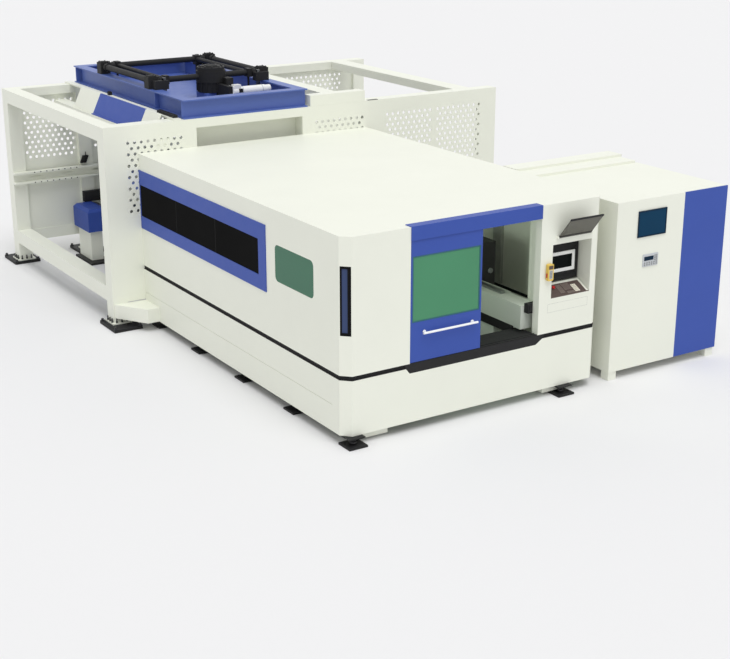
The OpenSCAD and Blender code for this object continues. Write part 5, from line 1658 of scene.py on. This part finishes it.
    def _cup_lips(self) -> None:
        """Models the soft lips under the suction cups."""
        lip = Bench.rod("lip", (0, 0, self.cup_lip_middle), Axis.Z, self.cup_radius, self.cup_lip_height,
                        self.cup_lip_sides)
        Bench.pick(lip, Side.BOTTOM)
        bpy.ops.transform.resize(value=self.cup_lip_flare)
        bpy.ops.object.mode_set(mode="OBJECT")
        Bench.face(lip, Side.BOTTOM, self.cup_lip_face)
        spots = self.spots((x, y, self.cup_bottom) for x in self.cup_x for y in self.cup_y)
        self.keep(Bench.array(lip, "cup_lips", Bench.shifts(spots)), RUBBER, "black_plastic", "lift")

    def _racks(self) -> None:
        """Models the four toothed bars that stand in for the plain ones."""
        low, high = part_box("rack_bars")
        half = self.rack_half
        bar = Bench.block("bar", (-half, -half, low.z), (half, half, high.z))
        Bench.notch(bar, Side.LEFT, self.rack_teeth, self.tooth_depth)
        places = []
        for x, turn in zip(self.rack_x, (0.0, math.pi)):
            for y in self.rack_y:
                places.append(Matrix.Translation(self.layout.at(x, y, 0.0)) @ Matrix.Rotation(turn, 4, "Z"))
        racks = self.keep(Bench.array(bar, "toothed_racks", places), STEEL_TALL, "bare_steel", "lift")
        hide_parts("rack_bars")


@dataclass
class Cabinets(Assembly):
    """Control cabinet row beside the enclosure."""

    screen_low: Point = (3.850, -0.013, 1.652)
    screen_high: Point = (4.278, -0.002, 1.955)
    screen_border: float = 0.013
    screen_edge: float = 0.0015
    display: Fitting = Fitting("plate_display", (3.972, -0.0145, 1.368), (4.112, -0.009, 1.414),
                               ((Side.FRONT, Panel(0.006, -0.0015, 0.001, 1)),), DEEP_NAVY, "screen_glass")
    plate_front: float = -0.010
    key_radius: float = 0.0095
    key_length: float = 0.01
    key_sides: int = 20
    key_face: Panel = Panel(0.003, 0.003, 0.0008, 1)
    key_fields: tuple[tuple[Span, Span, int, int], ...] = (
        ((4.136, 1.366), (0.0255, 0.024), 2, 3),
        ((3.983, 1.317), (0.0357, 0.024), 6, 2),
    )

    def build(self) -> None:
        """Models the small pieces and dresses the nodes."""
        self.finish(WHITE, "cabinet_bodies")
        self.finish(BLUE, "cabinet_blue_panel")
        self.finish(NAVY, "cabinet_screen")
        self.finish(PALE_PLATE, "cabinet_control_panel")
        self._bezel()
        self.fit(self.display)
        self._buttons()

    def _bezel(self) -> None:
        """Models the thin frame round the display window."""
        low, high = self.layout.at(*self.screen_low), self.layout.at(*self.screen_high)
        bezel = Bench.ring("window_bezel", low, high, Side.FRONT, self.screen_border, self.screen_edge)
        self.keep(bezel, DEEP_NAVY, "black_plastic")

    def _buttons(self) -> None:
        """Models the push buttons beside and below the display on the control plate."""
        button = Bench.rod("button", (0, 0, 0), Axis.Y, self.key_radius, self.key_length, self.key_sides)
        Bench.face(button, Side.FRONT, self.key_face)
        places = [
            (x + step_x * i, self.plate_front, z + step_z * j)
            for (x, z), (step_x, step_z), columns, rows in self.key_fields
            for i in range(columns) for j in range(rows)
        ]
        buttons = Bench.array(button, "plate_buttons", Bench.shifts(self.spots(places)))
        self.keep(buttons, GREY_PLASTIC, "grey_paint")


def main() -> None:
    """Builds the studio and every sub-assembly."""
    logging.basicConfig(level=logging.INFO, format="%(name)s: %(message)s")
    bpy.context.scene.view_settings.view_transform = "Standard"
    for item in [o for o in bpy.data.objects if o.type in {"CAMERA", "LIGHT"} or o.name == "Cube"]:
        bpy.data.objects.remove(item)
    layout = Layout()
    Studio(layout).build()
    for assembly in (Enclosure, Door, Console, Gantry, Tower, Lift, Cabinets):
        assembly(layout).build()
        LOG.info("%s done", assembly.__name__)


if __name__ == "__main__":
    main()
